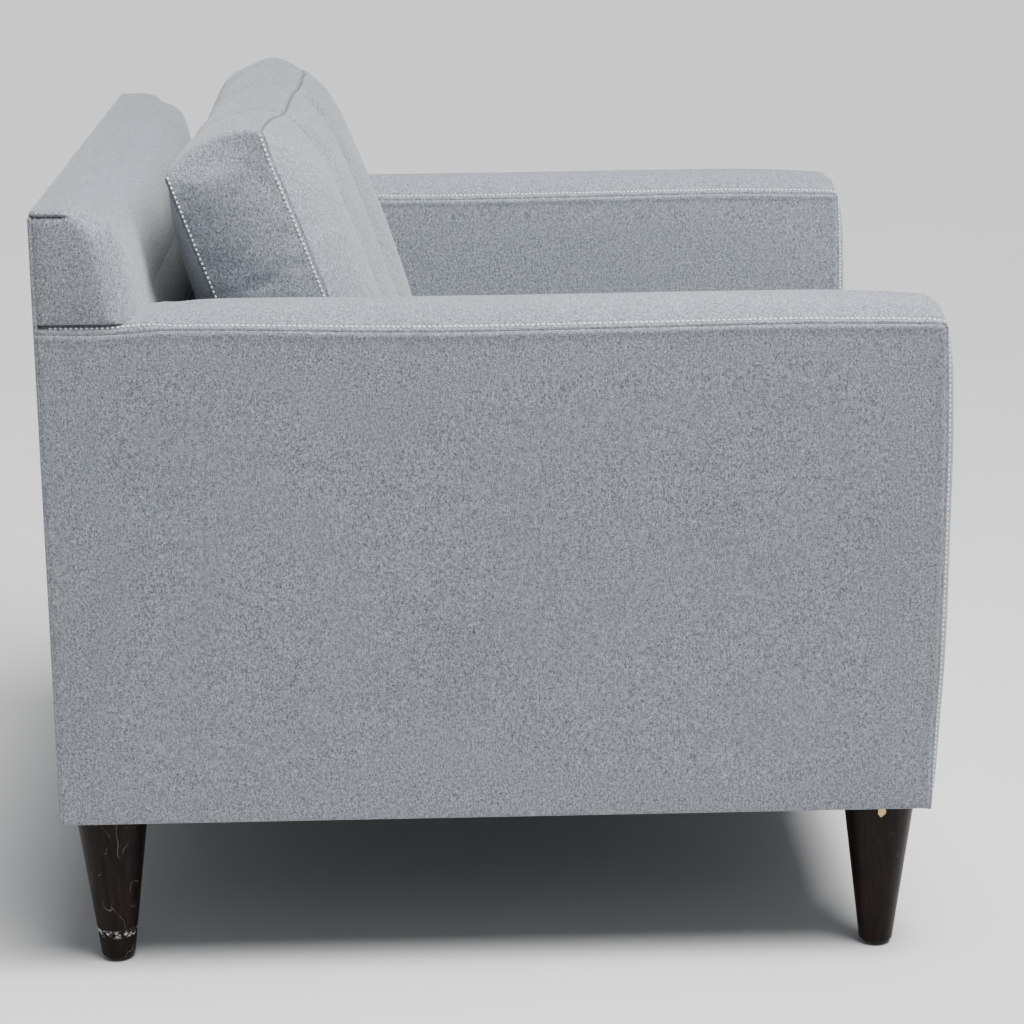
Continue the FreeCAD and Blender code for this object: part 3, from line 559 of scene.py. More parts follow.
def bandPoint(run, across):  # across is 0 at the outer seam and 1 at the inner one
    y, z, angle = seamPoint(run)
    crown, power = crownAt(run)
    edge = 1 - abs(2 * across - 1)
    roll, start = arm["rollShare"], arm["bandEdge"]
    if edge < roll:
        share = 1 - edge / roll
        inset, rise = start + arm["bandTuck"] * share * share, -arm["bandRoll"] * share
    else:
        share = (edge - roll) / (1 - roll)
        inset = start + (armWide / 2 - start) * share ** arm["spread"]
        share = (inset - start) / (armWide / 2 - start)
        rise = crown * (1 - (1 - share) ** power)
        rise -= arm["stitchSink"] * bell(inset - arm["stitchIn"], 0.0015)
        rise += 0.0007 * ripple(run * 9, inset * 20, 0, 3) * ease(share * 3)
    x = halfWidth - inset if across < 0.5 else armInside + inset
    return Vector((x, y - math.sin(angle) * rise, z + math.cos(angle) * rise))


def bandRows():  # lengths from the rear, closer together towards the front corner
    top, bend, front = bandPath()
    along, turns, down = arm["rows"]
    rows = [top * (1 - (1 - i / along) ** 1.25) for i in range(along)]
    rows += [top + bend * i / turns for i in range(turns)]
    return rows + [top + bend + front * i / down for i in range(down + 1)]


def makeBand(side, label):
    rows = bandRows()
    bm = gridForm(arm["columns"], len(rows) - 1)
    for vert in bm.verts:
        vert.co = bandPoint(rows[round(vert.co.y * (len(rows) - 1))], vert.co.x)
        vert.co.x *= side
    bmesh.ops.recalc_face_normals(bm, faces=bm.faces)
    piece = makeObject("armBand" + label, bm, coverCloth)
    faceOutwards(piece, Vector((side * (halfWidth - armWide / 2), 0, 0.4)))
    addThickness(piece, 0.004)
    nodes = ["arm_band_" + label.lower(), "arm_top_foam_" + label.lower()]
    finishPiece(piece, "chair", nodes)


def faceOutwards(piece, middle):  # turns an open shell's faces away from a point inside it
    mesh = piece.data
    score = sum((p.center - middle).dot(p.normal) * p.area for p in mesh.polygons)
    if score < 0:
        mesh.flip_normals()


def roundCorner(point, halfY, halfZ, reach):  # rounds a panel's top front corner
    overY, overZ = reach - point.y - halfY, reach - halfZ + point.z
    if overY > 0 and overZ > 0:
        share = max(overY, overZ) / max(math.hypot(overY, overZ), 1e-9)
        point.y = reach - overY * share - halfY
        point.z = halfZ - reach + overZ * share


def panelForm(lowY, highY, lowZ, highZ, faceX, swell, cells=(4, 84, 50), corner=0.0, seed=1, deep=0.012,
              frontSeam=False):
    # a padded panel standing in the yz plane, its front at faceX, turned to +x
    halfY, halfZ, halfX = (highY - lowY) / 2, (highZ - lowZ) / 2, deep / 2
    roll = min(arm["edgeRoll"], halfX * 0.9)
    bm = boxForm(cells)
    for vert in bm.verts:
        px, py, pz = vert.co
        point = Vector((px * halfX, crowded(py) * halfY, crowded(pz) * halfZ))
        point = roundedBox(point, (halfX, halfY, halfZ), roll)
        if corner:
            roundCorner(point, halfY, halfZ, corner)
        if px > 0.5:
            inY = 1 - abs(point.y / halfY) ** 8
            inZ = 1 - abs(point.z / halfZ) ** 6
            uneven = arm["waver"] * ripple(point.y * 5, point.z * 5, 0, seed)
            point.x += (swell + uneven) * inY * inZ
            edgeGap = min(halfZ - point.z, point.y + halfY) if corner else 1.0
            point.x += arm["ridge"] * bell(edgeGap - arm["ridgeAt"], arm["ridgeWide"])
        y, z = (lowY + highY) / 2 + point.y, (lowZ + highZ) / 2 + point.z
        nearFront = clamp((highY - y) / (highY - lowY))
        if corner:  # an arm panel's top and front edges follow the seams
            nearTop = clamp((z - lowZ) / (highZ - lowZ)) ** 5
            z += (readCurve(seamTop, y) - seamLevel) * nearTop
            y += (readCurve(seamFront, z) - frontEdge) * nearFront ** 9
        elif frontSeam:
            y += (readCurve(seamFront, z) - frontEdge) * nearFront
        vert.co = Vector((faceX - halfX + point.x, y, z))
    return bm


def makeArmPanels(side, label):
    swell, corner = arm["panelSwell"], arm["cornerRadius"] - 0.001
    front, top, bottom = frontEdge + arm["seamGap"], seamLevel - arm["seamGap"], boxBottom - arm["hem"]
    outer = panelForm(front, rearEdge - 0.003, bottom, top, halfWidth, swell, corner=corner, seed=2 + side)
    inner = panelForm(front, innerHigh.y, innerLow.z, top, -armInside, swell, corner=corner, seed=5 + side)
    # the inside of the arm's front, below the inner panel and ahead of the front rail
    foot = panelForm(front, railLow.y + 0.006, bottom, innerLow.z + 0.004, -armInside, 0.0003,
                     cells=(4, 12, 40), seed=8 + side, deep=0.004, frontSeam=True)
    ending = label.lower()
    for bm, mirrored, part, nodes in (
        (outer, side < 0, "Outer", ["arm_outer_panel_" + ending, "arm_outer_pad_" + ending]),
        (inner, side > 0, "Inner", ["arm_inner_panel_" + ending]),
        (foot, side > 0, "Foot", []),
    ):
        if mirrored:
            bmesh.ops.scale(bm, verts=bm.verts, vec=(-1, 1, 1))
            bmesh.ops.reverse_faces(bm, faces=bm.faces)
        piece = makeObject("arm%sPanel%s" % (part, label), bm, coverCloth)
        finishPiece(piece, "chair", nodes)


def makeArmStitches(side, label):
    total, inset, steps = sum(bandPath()), 0.012, 320
    start, roll = arm["bandEdge"], arm["rollShare"]
    depth = ((arm["stitchIn"] - start) / (armWide / 2 - start)) ** (1 / arm["spread"])
    edge = (roll + (1 - roll) * depth) / 2
    bm = bmesh.new()
    for across in (edge, 1 - edge):
        points, outwards = [], []
        for i in range(steps + 1):
            run = mix(inset, total - inset, i / steps)
            place, beside = bandPoint(run, across), bandPoint(run, 0.5 + (across - 0.5) * 0.98)
            outward = (bandPoint(run + 0.002, across) - place).cross(beside - place).normalized()
            angle = seamPoint(run)[2]
            if outward.dot(Vector((0, -math.sin(angle), math.cos(angle)))) < 0:
                outward.negate()
            place.x *= side
            outward.x *= side
            points.append(place)
            outwards.append(outward)
        sewAlong(bm, points, outwards)
    finishPiece(makeObject("armStitches" + label, bm, paleThread), "chair")


for side, label in ((-1, "Right"), (1, "Left")):
    makeBand(side, label)
    makeArmPanels(side, label)
    makeArmStitches(side, label)
print("arms made")


# fixed back: a rounded bolster across the arms, and the leaning face below it

back = {
    "rake": 18.4, "faceY": 0.3215, "faceZ": 0.641, "seat": 0.6375,
    "frontRound": 0.030, "rearRound": 0.0065, "footRound": 0.0045,
    "swell": 0.009, "topSwell": 0.002, "endSwell": 0.0025, "waver": 0.0010,
    "drop": 0.045,       # how far the front runs down between the arms
    "tuckEnd": 0.380,    # where the end panel's top seam stops
    "tuckDown": 0.0070,  # that seam's distance below the top
    "tuckDeep": 0.0030,
    # the leaning face below the bolster
    "faceGap": 0.003, "faceDeep": 0.040, "faceRound": 0.014, "faceSwell": 0.006, "overlap": 0.02,
}
rakeSlope = math.tan(math.radians(back["rake"]))


def footRounding(point, half, radius, foot):  # a small rounding where the upright sides meet the underside
    core = Vector([clamp(point[i], radius - half[i], half[i] - radius) for i in range(2)])
    outward = Vector((point.x, point.y)) - core
    inside, above = radius - outward.length, point.z + half[2]
    if inside < foot and above < foot and outward.length > 1e-6:
        overIn, overUp = foot - inside, foot - above
        share = max(overIn, overUp) / math.hypot(overIn, overUp)
        step = outward.normalized() * (overIn * share - overIn)
        return Vector((point.x + step.x, point.y + step.y, foot - overUp * share - half[2]))
    return point


def bolsterPlace(vert):
    px, py, pz = vert.co
    halfX, halfZ = halfWidth - 0.001, (backTop - back["seat"]) / 2
    lean = back["faceY"] + (pz + 1) / 2 * (backTop - back["seat"]) * rakeSlope
    rear = rearEdge - 0.0015
    halfY = (rear - lean) / 2
    half = (halfX, halfY, halfZ)
    point = Vector((crowded(px, 2.4) * halfX, crowded(py, 1.5) * halfY, crowded(pz, 2.0) * halfZ))
    forward = clamp(0.5 - point.y / (2 * halfY))  # 0 at the rear, 1 in front
    radius = mix(back["rearRound"], back["frontRound"], ease((forward - 0.45) / 0.40))
    radius = min(radius, halfZ * 0.95, halfY * 0.95)
    if point.z > 0:
        point = roundedBox(point, half, radius)
    else:
        level = point.z
        point = roundedBox(Vector((point.x, point.y, 0)), (halfX, halfY, radius + halfZ), radius)
        point.z = level
        point = footRounding(point, half, radius, min(back["footRound"], radius))
    inX = 1 - abs(point.x / halfX) ** 8
    if py < -0.999:
        point.y -= back["swell"] * inX * (1 - abs(point.z / halfZ) ** 4)
    if pz > 0.999:
        inY = 1 - abs(point.y / halfY) ** 2
        point.z += back["topSwell"] * inX * inY
        point.z += back["waver"] * ripple(point.x * 24, point.y * 2.5, 0, 4) * inX
    if abs(px) > 0.999:
        swell = back["endSwell"] * (1 - (point.y / halfY) ** 4) * (1 - (point.z / halfZ) ** 4)
        point.x += math.copysign(swell, px)
    place = Vector((point.x, (rear + lean) / 2 + point.y, (backTop + back["seat"]) / 2 + point.z))
    if place.z < back["seat"] + 0.007 and abs(place.x) < armInside - 0.002:
        place.z -= back["drop"]
        place.y -= back["drop"] * rakeSlope * ease((forward - 0.4) / 0.4)
    return place


def makeBolster():
    bm = boxForm((84, 30, 40))
    for vert, place in [(v, bolsterPlace(v)) for v in bm.verts]:
        vert.co = place
    soft = [v for v in bm.verts if v.co.y < rearEdge - 0.016 and v.co.z > back["seat"] + 0.014]
    for turn in range(8):  # evens out where the top rolls into the front
        bmesh.ops.smooth_vert(bm, verts=soft, factor=0.5, use_axis_x=True, use_axis_y=True, use_axis_z=True)
    shade = bm.verts.layers.float.new("paintedSeamShade")
    for vert in bm.verts:  # the seam of the end panel, a little below the top edge, drawn in and darkened with painted shade
        if abs(vert.co.x) > halfWidth - 0.008:
            near = bell(backTop - vert.co.z - back["tuckDown"], 0.0015)
            near *= ease((vert.co.y - back["tuckEnd"]) / 0.010)
            vert.co.x -= math.copysign(back["tuckDeep"] * near, vert.co.x)
            vert[shade] = near
    piece = makeObject("backBolster", bm, coverCloth)
    addSubdivision(piece)
    finishPiece(piece, "chair", ["back_cover", "back_foam"])


def makeBackFace():
    low, high = backLow.z, back["seat"] - back["overlap"]
    half = Vector((armInside - back["faceGap"], back["faceDeep"] / 2, (high - low) / 2))
    bm = boxForm((60, 4, 40))
    for vert in bm.verts:
        px, py, pz = vert.co
        point = Vector((crowded(px) * half.x, py * half.y, crowded(pz, 1.5) * half.z))
        point = roundedBox(point, half, back["faceRound"])
        if py < 0:
            swell = (1 - (point.x / half.x) ** 4) * (1 - (point.z / half.z) ** 4)
            point.y += back["waver"] * ripple(point.x * 6, point.z * 6, 0, 8) - back["faceSwell"] * swell
        z = (low + high) / 2 + point.z
        behind = back["faceY"] + (z - back["faceZ"]) * rakeSlope + half.y + 0.006
        vert.co = Vector((point.x, behind + point.y, z))
    piece = makeObject("backFace", bm, coverCloth)
    finishPiece(piece, "chair", [])


def makeOutsideBack():
    bm = panelForm(-halfWidth + 0.0005, halfWidth - 0.0005, boxBottom, backTop - 0.0065, 0, 0.0015, seed=11,
                   deep=0.004)
    bmesh.ops.rotate(bm, verts=bm.verts, cent=(0, 0, 0), matrix=Matrix.Rotation(math.pi / 2, 3, "Z"))
    bmesh.ops.translate(bm, verts=bm.verts, vec=(0, rearEdge - 0.001, 0))
    piece = makeObject("outsideBack", bm, coverCloth)
    finishPiece(piece, "chair", ["back_outer_panel"])


makeBolster()
makeBackFace()
makeOutsideBack()
print("back made")


# below the seat: front rail cover with its nose, deck cloth, dust cover

deck = {
    "roll": 0.012,     # the front rail cover's bend over the rail
    "nose": 0.11,      # how far that cover runs back on the deck
    "swell": 0.003,
    "under": 0.03,     # how far the deck cloth runs under the inside back
    "lift": 0.0013,    # the deck cloth's height over its CAD node's underside
}
dust = {"dip": 0.005, "gap": 0.002, "cells": 56}
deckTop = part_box("deck_cloth")[1].z


def makeFrontRail():
    # the cover runs up the rail, over its edge and a short way on to the deck
    roll, low, top = deck["roll"], railLow.z, deckTop + 0.0006
    face = railLow.y
    up = top - roll - low
    bend = roll * math.pi / 2
    total = up + bend + deck["nose"]
    bm = gridForm(64, 60)
    for vert in bm.verts:
        run = vert.co.y * total
        x = crowded(vert.co.x * 2 - 1) * (armInside - 0.0015)
        swell = deck["swell"] * (1 - (x / armInside) ** 6)
        if run < up:
            place = Vector((x, face - swell * math.sin(math.pi * run / up), low + run))
        elif run < up + bend:
            angle = (run - up) / roll
            place = Vector((x, face + roll - roll * math.cos(angle), top - roll + roll * math.sin(angle)))
        else:
            place = Vector((x, face + roll + run - up - bend, top))
        vert.co = place
    piece = makeObject("frontRailCover", bm, coverCloth)
    faceOutwards(piece, Vector((0, 0, 0.2)))
    addThickness(piece, 0.002)
    finishPiece(piece, "chair", ["front_rail_cover"])


def makeDeck():
    low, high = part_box("deck_cloth")
    start, end = railLow.y + deck["nose"], high.y + deck["under"]
    bm = gridForm(48, 48)
    for vert in bm.verts:
        x = mix(low.x, high.x, vert.co.x)
        y = mix(start, end, vert.co.y)
        wave = 0.0003 * math.cos(x * 2 * math.pi / 0.14) + 0.0004 * ripple(x * 12, y * 12, 0, 6)
        vert.co = Vector((x, y, low.z + deck["lift"] + wave))
    piece = makeObject("deckCloth", bm, deckLining)
    addThickness(piece, 0.0012)
    finishPiece(piece, "chair", ["deck_cloth"])


def snap(share, span, marks, count):  # moves the nearest grid line on to each mark
    for mark in marks:
        wanted = (mark - span[0]) / (span[1] - span[0])
        if round(wanted * count) == round(share * count):
            return wanted
    return share


def makeDustCover():
    low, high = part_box("dust_cover")
    legLow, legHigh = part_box("leg_front_left")
    frontLeg, rearLeg = legHigh.y + dust["gap"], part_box("leg_rear_left")[0].y - dust["gap"]
    inner, cells = legLow.x - dust["gap"], dust["cells"]
    bm = gridForm(cells, cells)
    for vert in bm.verts:
        x = mix(low.x, high.x, snap(vert.co.x, (low.x, high.x), (-inner, inner), cells))
        y = mix(low.y, high.y, snap(vert.co.y, (low.y, high.y), (frontLeg, rearLeg), cells))
        dip = dust["dip"] * math.sin(math.pi * vert.co.x) ** 0.6 * math.sin(math.pi * vert.co.y) ** 0.6
        vert.co = Vector((x, y, low.z + 0.0006 - dip + 0.0008 * ripple(x * 14, y * 14, 0, 9)))
    edge, corners = 0.0004, []
    for face in bm.faces:  # the corners are cut away round the legs
        middle = face.calc_center_median()
        if abs(middle.x) > inner - edge and not frontLeg + edge < middle.y < rearLeg - edge:
            corners.append(face)
    bmesh.ops.delete(bm, geom=corners, context="FACES")
    piece = makeObject("dustCover", bm, dustLining)
    addThickness(piece, 0.0006)
    finishPiece(piece, "chair", ["dust_cover"])


makeFrontRail()
makeDeck()
makeDustCover()
print("seat base made")


# loose cushions: boxed covers, sewn along their seams and blown up from inside

def isSeam(co):  # co is a place on the -1 to 1 box; the two face seams run round y = -1 and y = 1
    return abs(co.y) > 0.999 and (abs(co.x) > 0.999 or abs(co.z) > 0.999)


def plump(piece, values, pinned):  # cloth under pressure, held at its seams
    group = piece.vertex_groups.new(name="held")
    for index, weight in pinned.items():
        group.add([index], weight, "REPLACE")
    start = [v.co.copy() for v in piece.data.vertices]
    modifier = piece.modifiers.new("Cloth", "CLOTH")
    cloth = modifier.settings
    cloth.quality = 6
    cloth.mass = 0.25  # of each vertex, in kg
    cloth.tension_stiffness = cloth.compression_stiffness = values["stretch"]
    cloth.shear_stiffness = values["stretch"] / 2
    cloth.bending_stiffness = values["bend"]
    cloth.shrink_min = -values["spare"]
    cloth.use_pressure = True
    cloth.uniform_pressure_force = values["pressure"]
    cloth.vertex_group_mass = "held"
    cloth.effector_weights.gravity = 0
    modifier.collision_settings.use_collision = False
    modifier.point_cache.frame_start = 1
    modifier.point_cache.frame_end = values["steps"] + 10
    scene = bpy.context.scene
    for step in range(1, values["steps"] + 1):
        scene.frame_set(step)
    shown = piece.evaluated_get(bpy.context.evaluated_depsgraph_get())
    moved = [v.co.copy() for v in shown.data.vertices]
    piece.modifiers.remove(modifier)
    scene.frame_set(1)
    for vert, old, new in zip(piece.data.vertices, start, moved):
        step = new - old
        if step.length > values["cap"]:
            step *= values["cap"] / step.length
        vert.co = old + step
    piece.vertex_groups.clear()


backCushion = {
    "rake": 20.0, "seamY": 0.1555, "seamZ": 0.641,  # the lean, and a point of the front seam's plane
    "boxing": 0.102, "halfWide": 0.311, "low": 0.456, "top": 0.166, "rearDrop": 0.007,
    "corner": 0.004, "cornerMiddle": 0.018,         # corner radius at the seams, and what the boxing adds
    "crown": 0.031, "rearCrown": 0.021, "endSwell": 0.005,
    "grooveAt": 0.105, "grooveDeep": 0.024,         # the grooves between the three columns
    "crease": 0.0042, "creaseWide": 0.0045,         # the fold in the bottom of each groove
    "puffs": 0.0026, "frontPuffs": 0.0034,          # the small folds on the top and in front
    "tuftZ": 0.606, "tuftDeep": 0.010, "tuftWide": 0.022, "pull": 0.011, "pullWide": 0.075,
    "stretch": 14.0, "bend": 0.12, "spare": 0.012, "pressure": 2.2, "steps": 20, "cap": 0.012,  # of the cloth
}
# the top seam's height above seamZ, along the lean, by x
cushionTop = [(-0.311, 0.1675), (-0.25, 0.1665), (-0.178, 0.162), (-0.105, 0.1535), (-0.05, 0.1545),
              (0.04, 0.1535), (0.105, 0.1475), (0.16, 0.1490), (0.26, 0.1500), (0.311, 0.1510)]
# how far the top boxing stands up between its seams, by x
topPuff = [(-0.311, 0.004), (-0.295, 0.009), (-0.25, 0.0125), (-0.15, 0.0150), (-0.112, 0.0160),
           (-0.105, 0.0145), (-0.098, 0.0160), (-0.05, 0.0170), (0.06, 0.0155), (0.098, 0.0150),
           (0.105, 0.0140), (0.112, 0.0155), (0.15, 0.0165), (0.25, 0.0210), (0.295, 0.0255), (0.311, 0.0240)]
cushionLean = math.radians(backCushion["rake"])
cushionUp = Vector((0, math.sin(cushionLean), math.cos(cushionLean)))
cushionOut = Vector((0, -cushionUp.z, cushionUp.y))  # out of the cushion's front face


def crowdGrooves(px):  # columns of the mesh stand closer together at the grooves and the ends
    mark = backCushion["grooveAt"] / backCushion["halfWide"]
    if abs(px) < mark:
        share = abs(px) / mark
        return math.copysign(mark * mix(share, 1 - (1 - share) ** 2, 0.75), px)
    share = (abs(px) - mark) / (1 - mark)
    return math.copysign(mark + (1 - mark) * mix(share, ease(share), 0.75), px)


def grooveShare(x):  # 0 in a groove, 1 on the middle of a column
    spread = abs(abs(x) - backCushion["grooveAt"])
    return 1 - (1 - clamp(spread / backCushion["grooveAt"])) ** 4.2


def creaseAt(x):  # depth of the fold in a groove
    return backCushion["crease"] * bell(abs(x) - backCushion["grooveAt"], backCushion["creaseWide"])


def frontCrown(x, high):  # how far the front face stands off its seam plane; high is -1 to 1
    given = backCushion
    rise = given["crown"] - given["grooveDeep"] * (1 - grooveShare(x))
    if abs(x) > given["grooveAt"]:
        side = clamp((given["halfWide"] - abs(x)) / 0.085)
        rise *= 1 - (1 - side) ** 2.6
    return rise * (1 - abs(high) ** 5.5)


def tuftDip(x, level):  # how far the tufts draw the front face in
    given, dip = backCushion, 0.0
    for tuftX in (-given["grooveAt"], given["grooveAt"]):
        away = math.hypot(x - tuftX, (level - given["tuftZ"]) * 0.9)
        dip += given["tuftDeep"] * math.exp(-(away / given["tuftWide"]) ** 1.4)
        dip += given["pull"] * bell(away, given["pullWide"])
    return dip


def cushionPlace(co):
    given = backCushion
    px, py, pz = crowdGrooves(co.x), co.y, co.z
    deep, middle = (py + 1) / 2, 1 - py * py
    depth = given["boxing"] * deep
    lowRun = (given["low"] - given["seamZ"] + depth * cushionUp.y) / cushionUp.z
    highRun = given["top"] - given["rearDrop"] * deep
    halfX, halfRun = given["halfWide"], (highRun - lowRun) / 2
    corner = given["corner"] + given["cornerMiddle"] * middle
    x, run = squareToRound(px * halfX, pz * halfRun, halfX, halfRun, corner)
    if abs(px) > 0.999:
        x += math.copysign(given["endSwell"], px) * middle * (1 - pz ** 4)
    run += (readCurve(cushionTop, x) - given["top"]) * clamp((pz + 1) / 2) ** 3
    if pz > 0.999:
        run += readCurve(topPuff, x) * (1 - abs(2 * deep ** 0.9 - 1) ** 3.4)
        run += given["puffs"] * ripple(x * 34, py * 0.7, 0, 12) * (1 - abs(px) ** 8) * middle ** 0.5
        run -= creaseAt(x) * (0.25 if x > 0 else 1)
    if pz < -0.999:
        run += 0.002 * middle
    out, high = -depth, run / halfRun
    if py < -0.999:
        level = (lowRun + halfRun + run) * cushionUp.z + given["seamZ"]
        out += frontCrown(x, clamp(high, -1, 1)) - tuftDip(x, level)
        nearTop = clamp((high + 0.2) / 1.2) ** 2 * (1 - abs(high) ** 10)
        out += given["frontPuffs"] * ripple(x * 30 + high * 1.5, high * 1.2, 0, 14) * nearTop
        out -= creaseAt(x) * clamp((high + 0.6) / 0.4)
    if py > 0.999:
        out -= given["rearCrown"] * (1 - abs(px) ** 10) * (1 - min(abs(high), 1) ** 2.2)
    base = Vector((x, given["seamY"], given["seamZ"]))
    return base + cushionUp * (lowRun + halfRun + run) + cushionOut * out


seatCushion = {
    "halfWide": 0.312, "front": -0.402, "rear": 0.190, "low": 0.327, "high": 0.435,
    "crown": 0.013, "swell": 0.004, "corner": 0.022, "cornerMiddle": 0.012, "cornerPull": 0.004,
    "stretch": 14.0, "bend": 0.15, "spare": 0.010, "pressure": 1.6, "steps": 20, "cap": 0.008,
}


def seatPlace(co):  # the same box, lying down: its y = -1 face is the top of the seat cushion
    given = seatCushion
    px, py, pz = co
    middle = 1 - py * py
    halfX, halfY = given["halfWide"], (given["rear"] - given["front"]) / 2
    corner = given["corner"] + given["cornerMiddle"] * middle
    x, y = squareToRound(px * halfX, pz * halfY, halfX, halfY, corner)
    if abs(px) > 0.999:
        x += math.copysign(given["swell"], px) * middle * (1 - pz ** 4)
    if abs(pz) > 0.999:
        y += math.copysign(given["swell"], pz) * middle * (1 - px ** 4)
        y += 0.0008 * ripple(x * 25, py * 0.8, 0, 21)
    pull = given["cornerPull"] * (1 - (1 - abs(px) ** 6) * (1 - abs(pz) ** 6))
    z = mix(given["high"] - pull, given["low"], (py + 1) / 2)
    dome = (1 - abs(px) ** 3.2) * (1 - abs(pz) ** 3.2)
    if py < -0.999:
        z += given["crown"] * dome + 0.001 * ripple(x * 7, y * 7, 0, 23)
    if py > 0.999:
        z -= 0.002 * dome
    return Vector((x, (given["front"] + given["rear"]) / 2 - y, z))


seamCut = {"width": 0.0015, "depth": 0.0045, "endShare": 0.4, "foldWide": 0.008, "foldHeld": 0.8}


def cutSeams(piece, pairs, paintedShadeAt):  # a seam is a narrow valley: its edges are bevelled, the middle is sunk and darkened with painted shade
    bm = bmesh.new()
    bm.from_mesh(piece.data)
    bm.normal_update()
    shade = bm.verts.layers.float.new("paintedSeamShade")  # how much painted shade darkens the cloth in a seam or a fold
    for vert in bm.verts:
        vert[shade] = paintedShadeAt.get(vert.index, 0.0)
    wanted = {frozenset(p) for p in pairs}
    bm.verts.index_update()
    edges = [e for e in bm.edges if frozenset(v.index for v in e.verts) in wanted]
    ends = list({v for e in edges for v in e.verts})
    normals = [v.normal.copy() for v in ends]
    tree = KDTree(len(ends))
    for index, vert in enumerate(ends):
        tree.insert(vert.co, index)
    tree.balance()
    bmesh.ops.bevel(bm, geom=edges, offset=seamCut["width"], offset_type="OFFSET", affect="EDGES", segments=2,
                    profile=0.5, material=-1, clamp_overlap=True)
    for vert in bm.verts:
        spot, index, away = tree.find(vert.co)
        if away < seamCut["width"] * 0.7:
            # the stitched end seams are drawn up less and get less painted shade
            share = seamCut["endShare"] if abs(normals[index].x) > 0.4 else 1.0
            vert.co -= normals[index] * seamCut["depth"] * share
            vert[shade] = share
        elif away < seamCut["width"] * 1.3:
            vert[shade] = 0.0
    bm.to_mesh(piece.data)
    bm.free()
    for polygon in piece.data.polygons:
        polygon.use_smooth = True


def paintedFoldShade(co):  # painted shade in the grooves' folds, darkest by the top seam and at the tufts
    if co.y < -0.999:
        return 0.9 * clamp((co.z + 0.75) / 0.5)
    return 0.8 * (1 - abs(co.y)) ** 0.3 if co.z > 0.999 and co.x < 0 else 0.0


def makeCushion(name, cells, place, values, body, nodes, tufts=()):
    bm = boxForm(cells)
    bm.verts.index_update()
    flat = [v.co.copy() for v in bm.verts]
    pairs = [tuple(v.index for v in e.verts) for e in bm.edges
             if all(isSeam(v.co) for v in e.verts) and abs(e.verts[0].co.y - e.verts[1].co.y) < 0.001]
    inward = {}  # from each seam vertex to its neighbour in the boxing
    for edge in bm.edges:
        for here, there in (edge.verts, reversed(edge.verts)):
            if isSeam(here.co) and abs(here.co.y) - abs(there.co.y) > 0.001:
                inward[here.index] = there.index
    for vert in bm.verts:
        vert.co = place(vert.co)
    bmesh.ops.recalc_face_normals(bm, faces=bm.faces)
    piece = makeObject(name, bm, coverCloth)
    held, paintedShadeAt = {i: 1.0 for i, co in enumerate(flat) if isSeam(co)}, {}
    for i, co in enumerate(flat):
        if co.y < 0 and any((piece.data.vertices[i].co - tuft).length < 0.012 for tuft in tufts):
            held[i] = 1.0
        elif tufts:
            away = abs(abs(piece.data.vertices[i].co.x) - values["grooveAt"])
            # painted shade along each groove's fold
            paintedShadeAt[i] = paintedFoldShade(co) * bell(away, seamCut["foldWide"])
            if away < 0.003:
                held[i] = seamCut["foldHeld"]
    plump(piece, values, held)
    spots = [v.co.copy() for v in piece.data.vertices]
    cutSeams(piece, pairs, paintedShadeAt)
    addSubdivision(piece)
    finishPiece(piece, body, nodes)
    return piece, flat, spots, pairs, inward


def seamRows(flat, pairs, wanted):  # ordered runs of seam vertices whose flat place passes a test
    beside = {}
    for a, b in pairs:
        if wanted(flat[a]) and wanted(flat[b]):
            beside.setdefault(a, []).append(b)
            beside.setdefault(b, []).append(a)
    rows, seen = [], set()
    for start in sorted(beside, key=lambda i: len(beside[i])):
        if start in seen:
            continue
        row, here = [start], start
        seen.add(start)
        while True:
            following = [i for i in beside[here] if i not in seen]
            if not following:
                break
            here = following[0]
            seen.add(here)
            row.append(here)
        rows.append(row)
    return rows


def sewCushion(name, cushion, body, wanted, closed=False):
    piece, flat, spots, pairs, inward = cushion
    bpy.context.view_layer.update()
    tree = BVHTree.FromObject(piece, bpy.context.evaluated_depsgraph_get())
    bm = bmesh.new()
    for row in seamRows(flat, pairs, wanted):
        if closed:
            row = row + row[:1]
        points, outwards = [], []
        for index in row:
            step = (spots[inward[index]] - spots[index]).normalized() * arm["stitchIn"]
            spot, normal, face, away = tree.find_nearest(spots[index] + step)
            points.append(spot)
            outwards.append(normal)
        sewAlong(bm, points, outwards)
    finishPiece(makeObject(name, bm, paleThread), body)


def tuftSpots():
    given = backCushion
    spots = []
    for x in (-given["grooveAt"], given["grooveAt"]):
        run = (given["tuftZ"] - given["seamZ"]) / cushionUp.z
        deep = given["crown"] - given["grooveDeep"] - given["tuftDeep"] - given["pull"]
        spots.append(Vector((x, given["seamY"], given["seamZ"])) + cushionUp * run + cushionOut * deep)
    return spots


def makeTufts(cushion):  # a short doubled twine pulls the cloth in at each tuft
    tree = BVHTree.FromObject(cushion[0], bpy.context.evaluated_depsgraph_get())
    bm = bmesh.new()
    for spot in tuftSpots():
        place, normal, face, away = tree.find_nearest(spot)
        for lift in (-0.0016, 0.0016):
            addStitch(bm, place + Vector((lift, 0, 0)), cushionUp, normal)
        addStitch(bm, place + normal * 0.0004, Vector((1, 0, 0)), normal)
    finishPiece(makeObject("tuftThreads", bm, twineThread), "back_cushion", ["tuft_twines"])


seatBody = makeCushion("seatCushion", (78, 14, 74), seatPlace, seatCushion, "seat_cushion",
                       ["seat_cushion_cover", "seat_cushion_core"])
sewCushion("seatCushionStitches", seatBody, "seat_cushion", lambda co: True, closed=True)
print("seat cushion made")

backBody = makeCushion("backCushion", (84, 12, 48), cushionPlace, backCushion, "back_cushion",
                       ["back_cushion_cover", "back_cushion_core"], tuftSpots())
sewCushion("backCushionStitches", backBody, "back_cushion", lambda co: abs(co.x) > 0.999)
makeTufts(backBody)
print("back cushion made")


# zips: a tape, a coil of teeth and a slider with its pull

zipper = {"tape": 0.0012, "toothPitch": 0.0028, "toothWide": 0.0042, "toothThick": 0.0011}
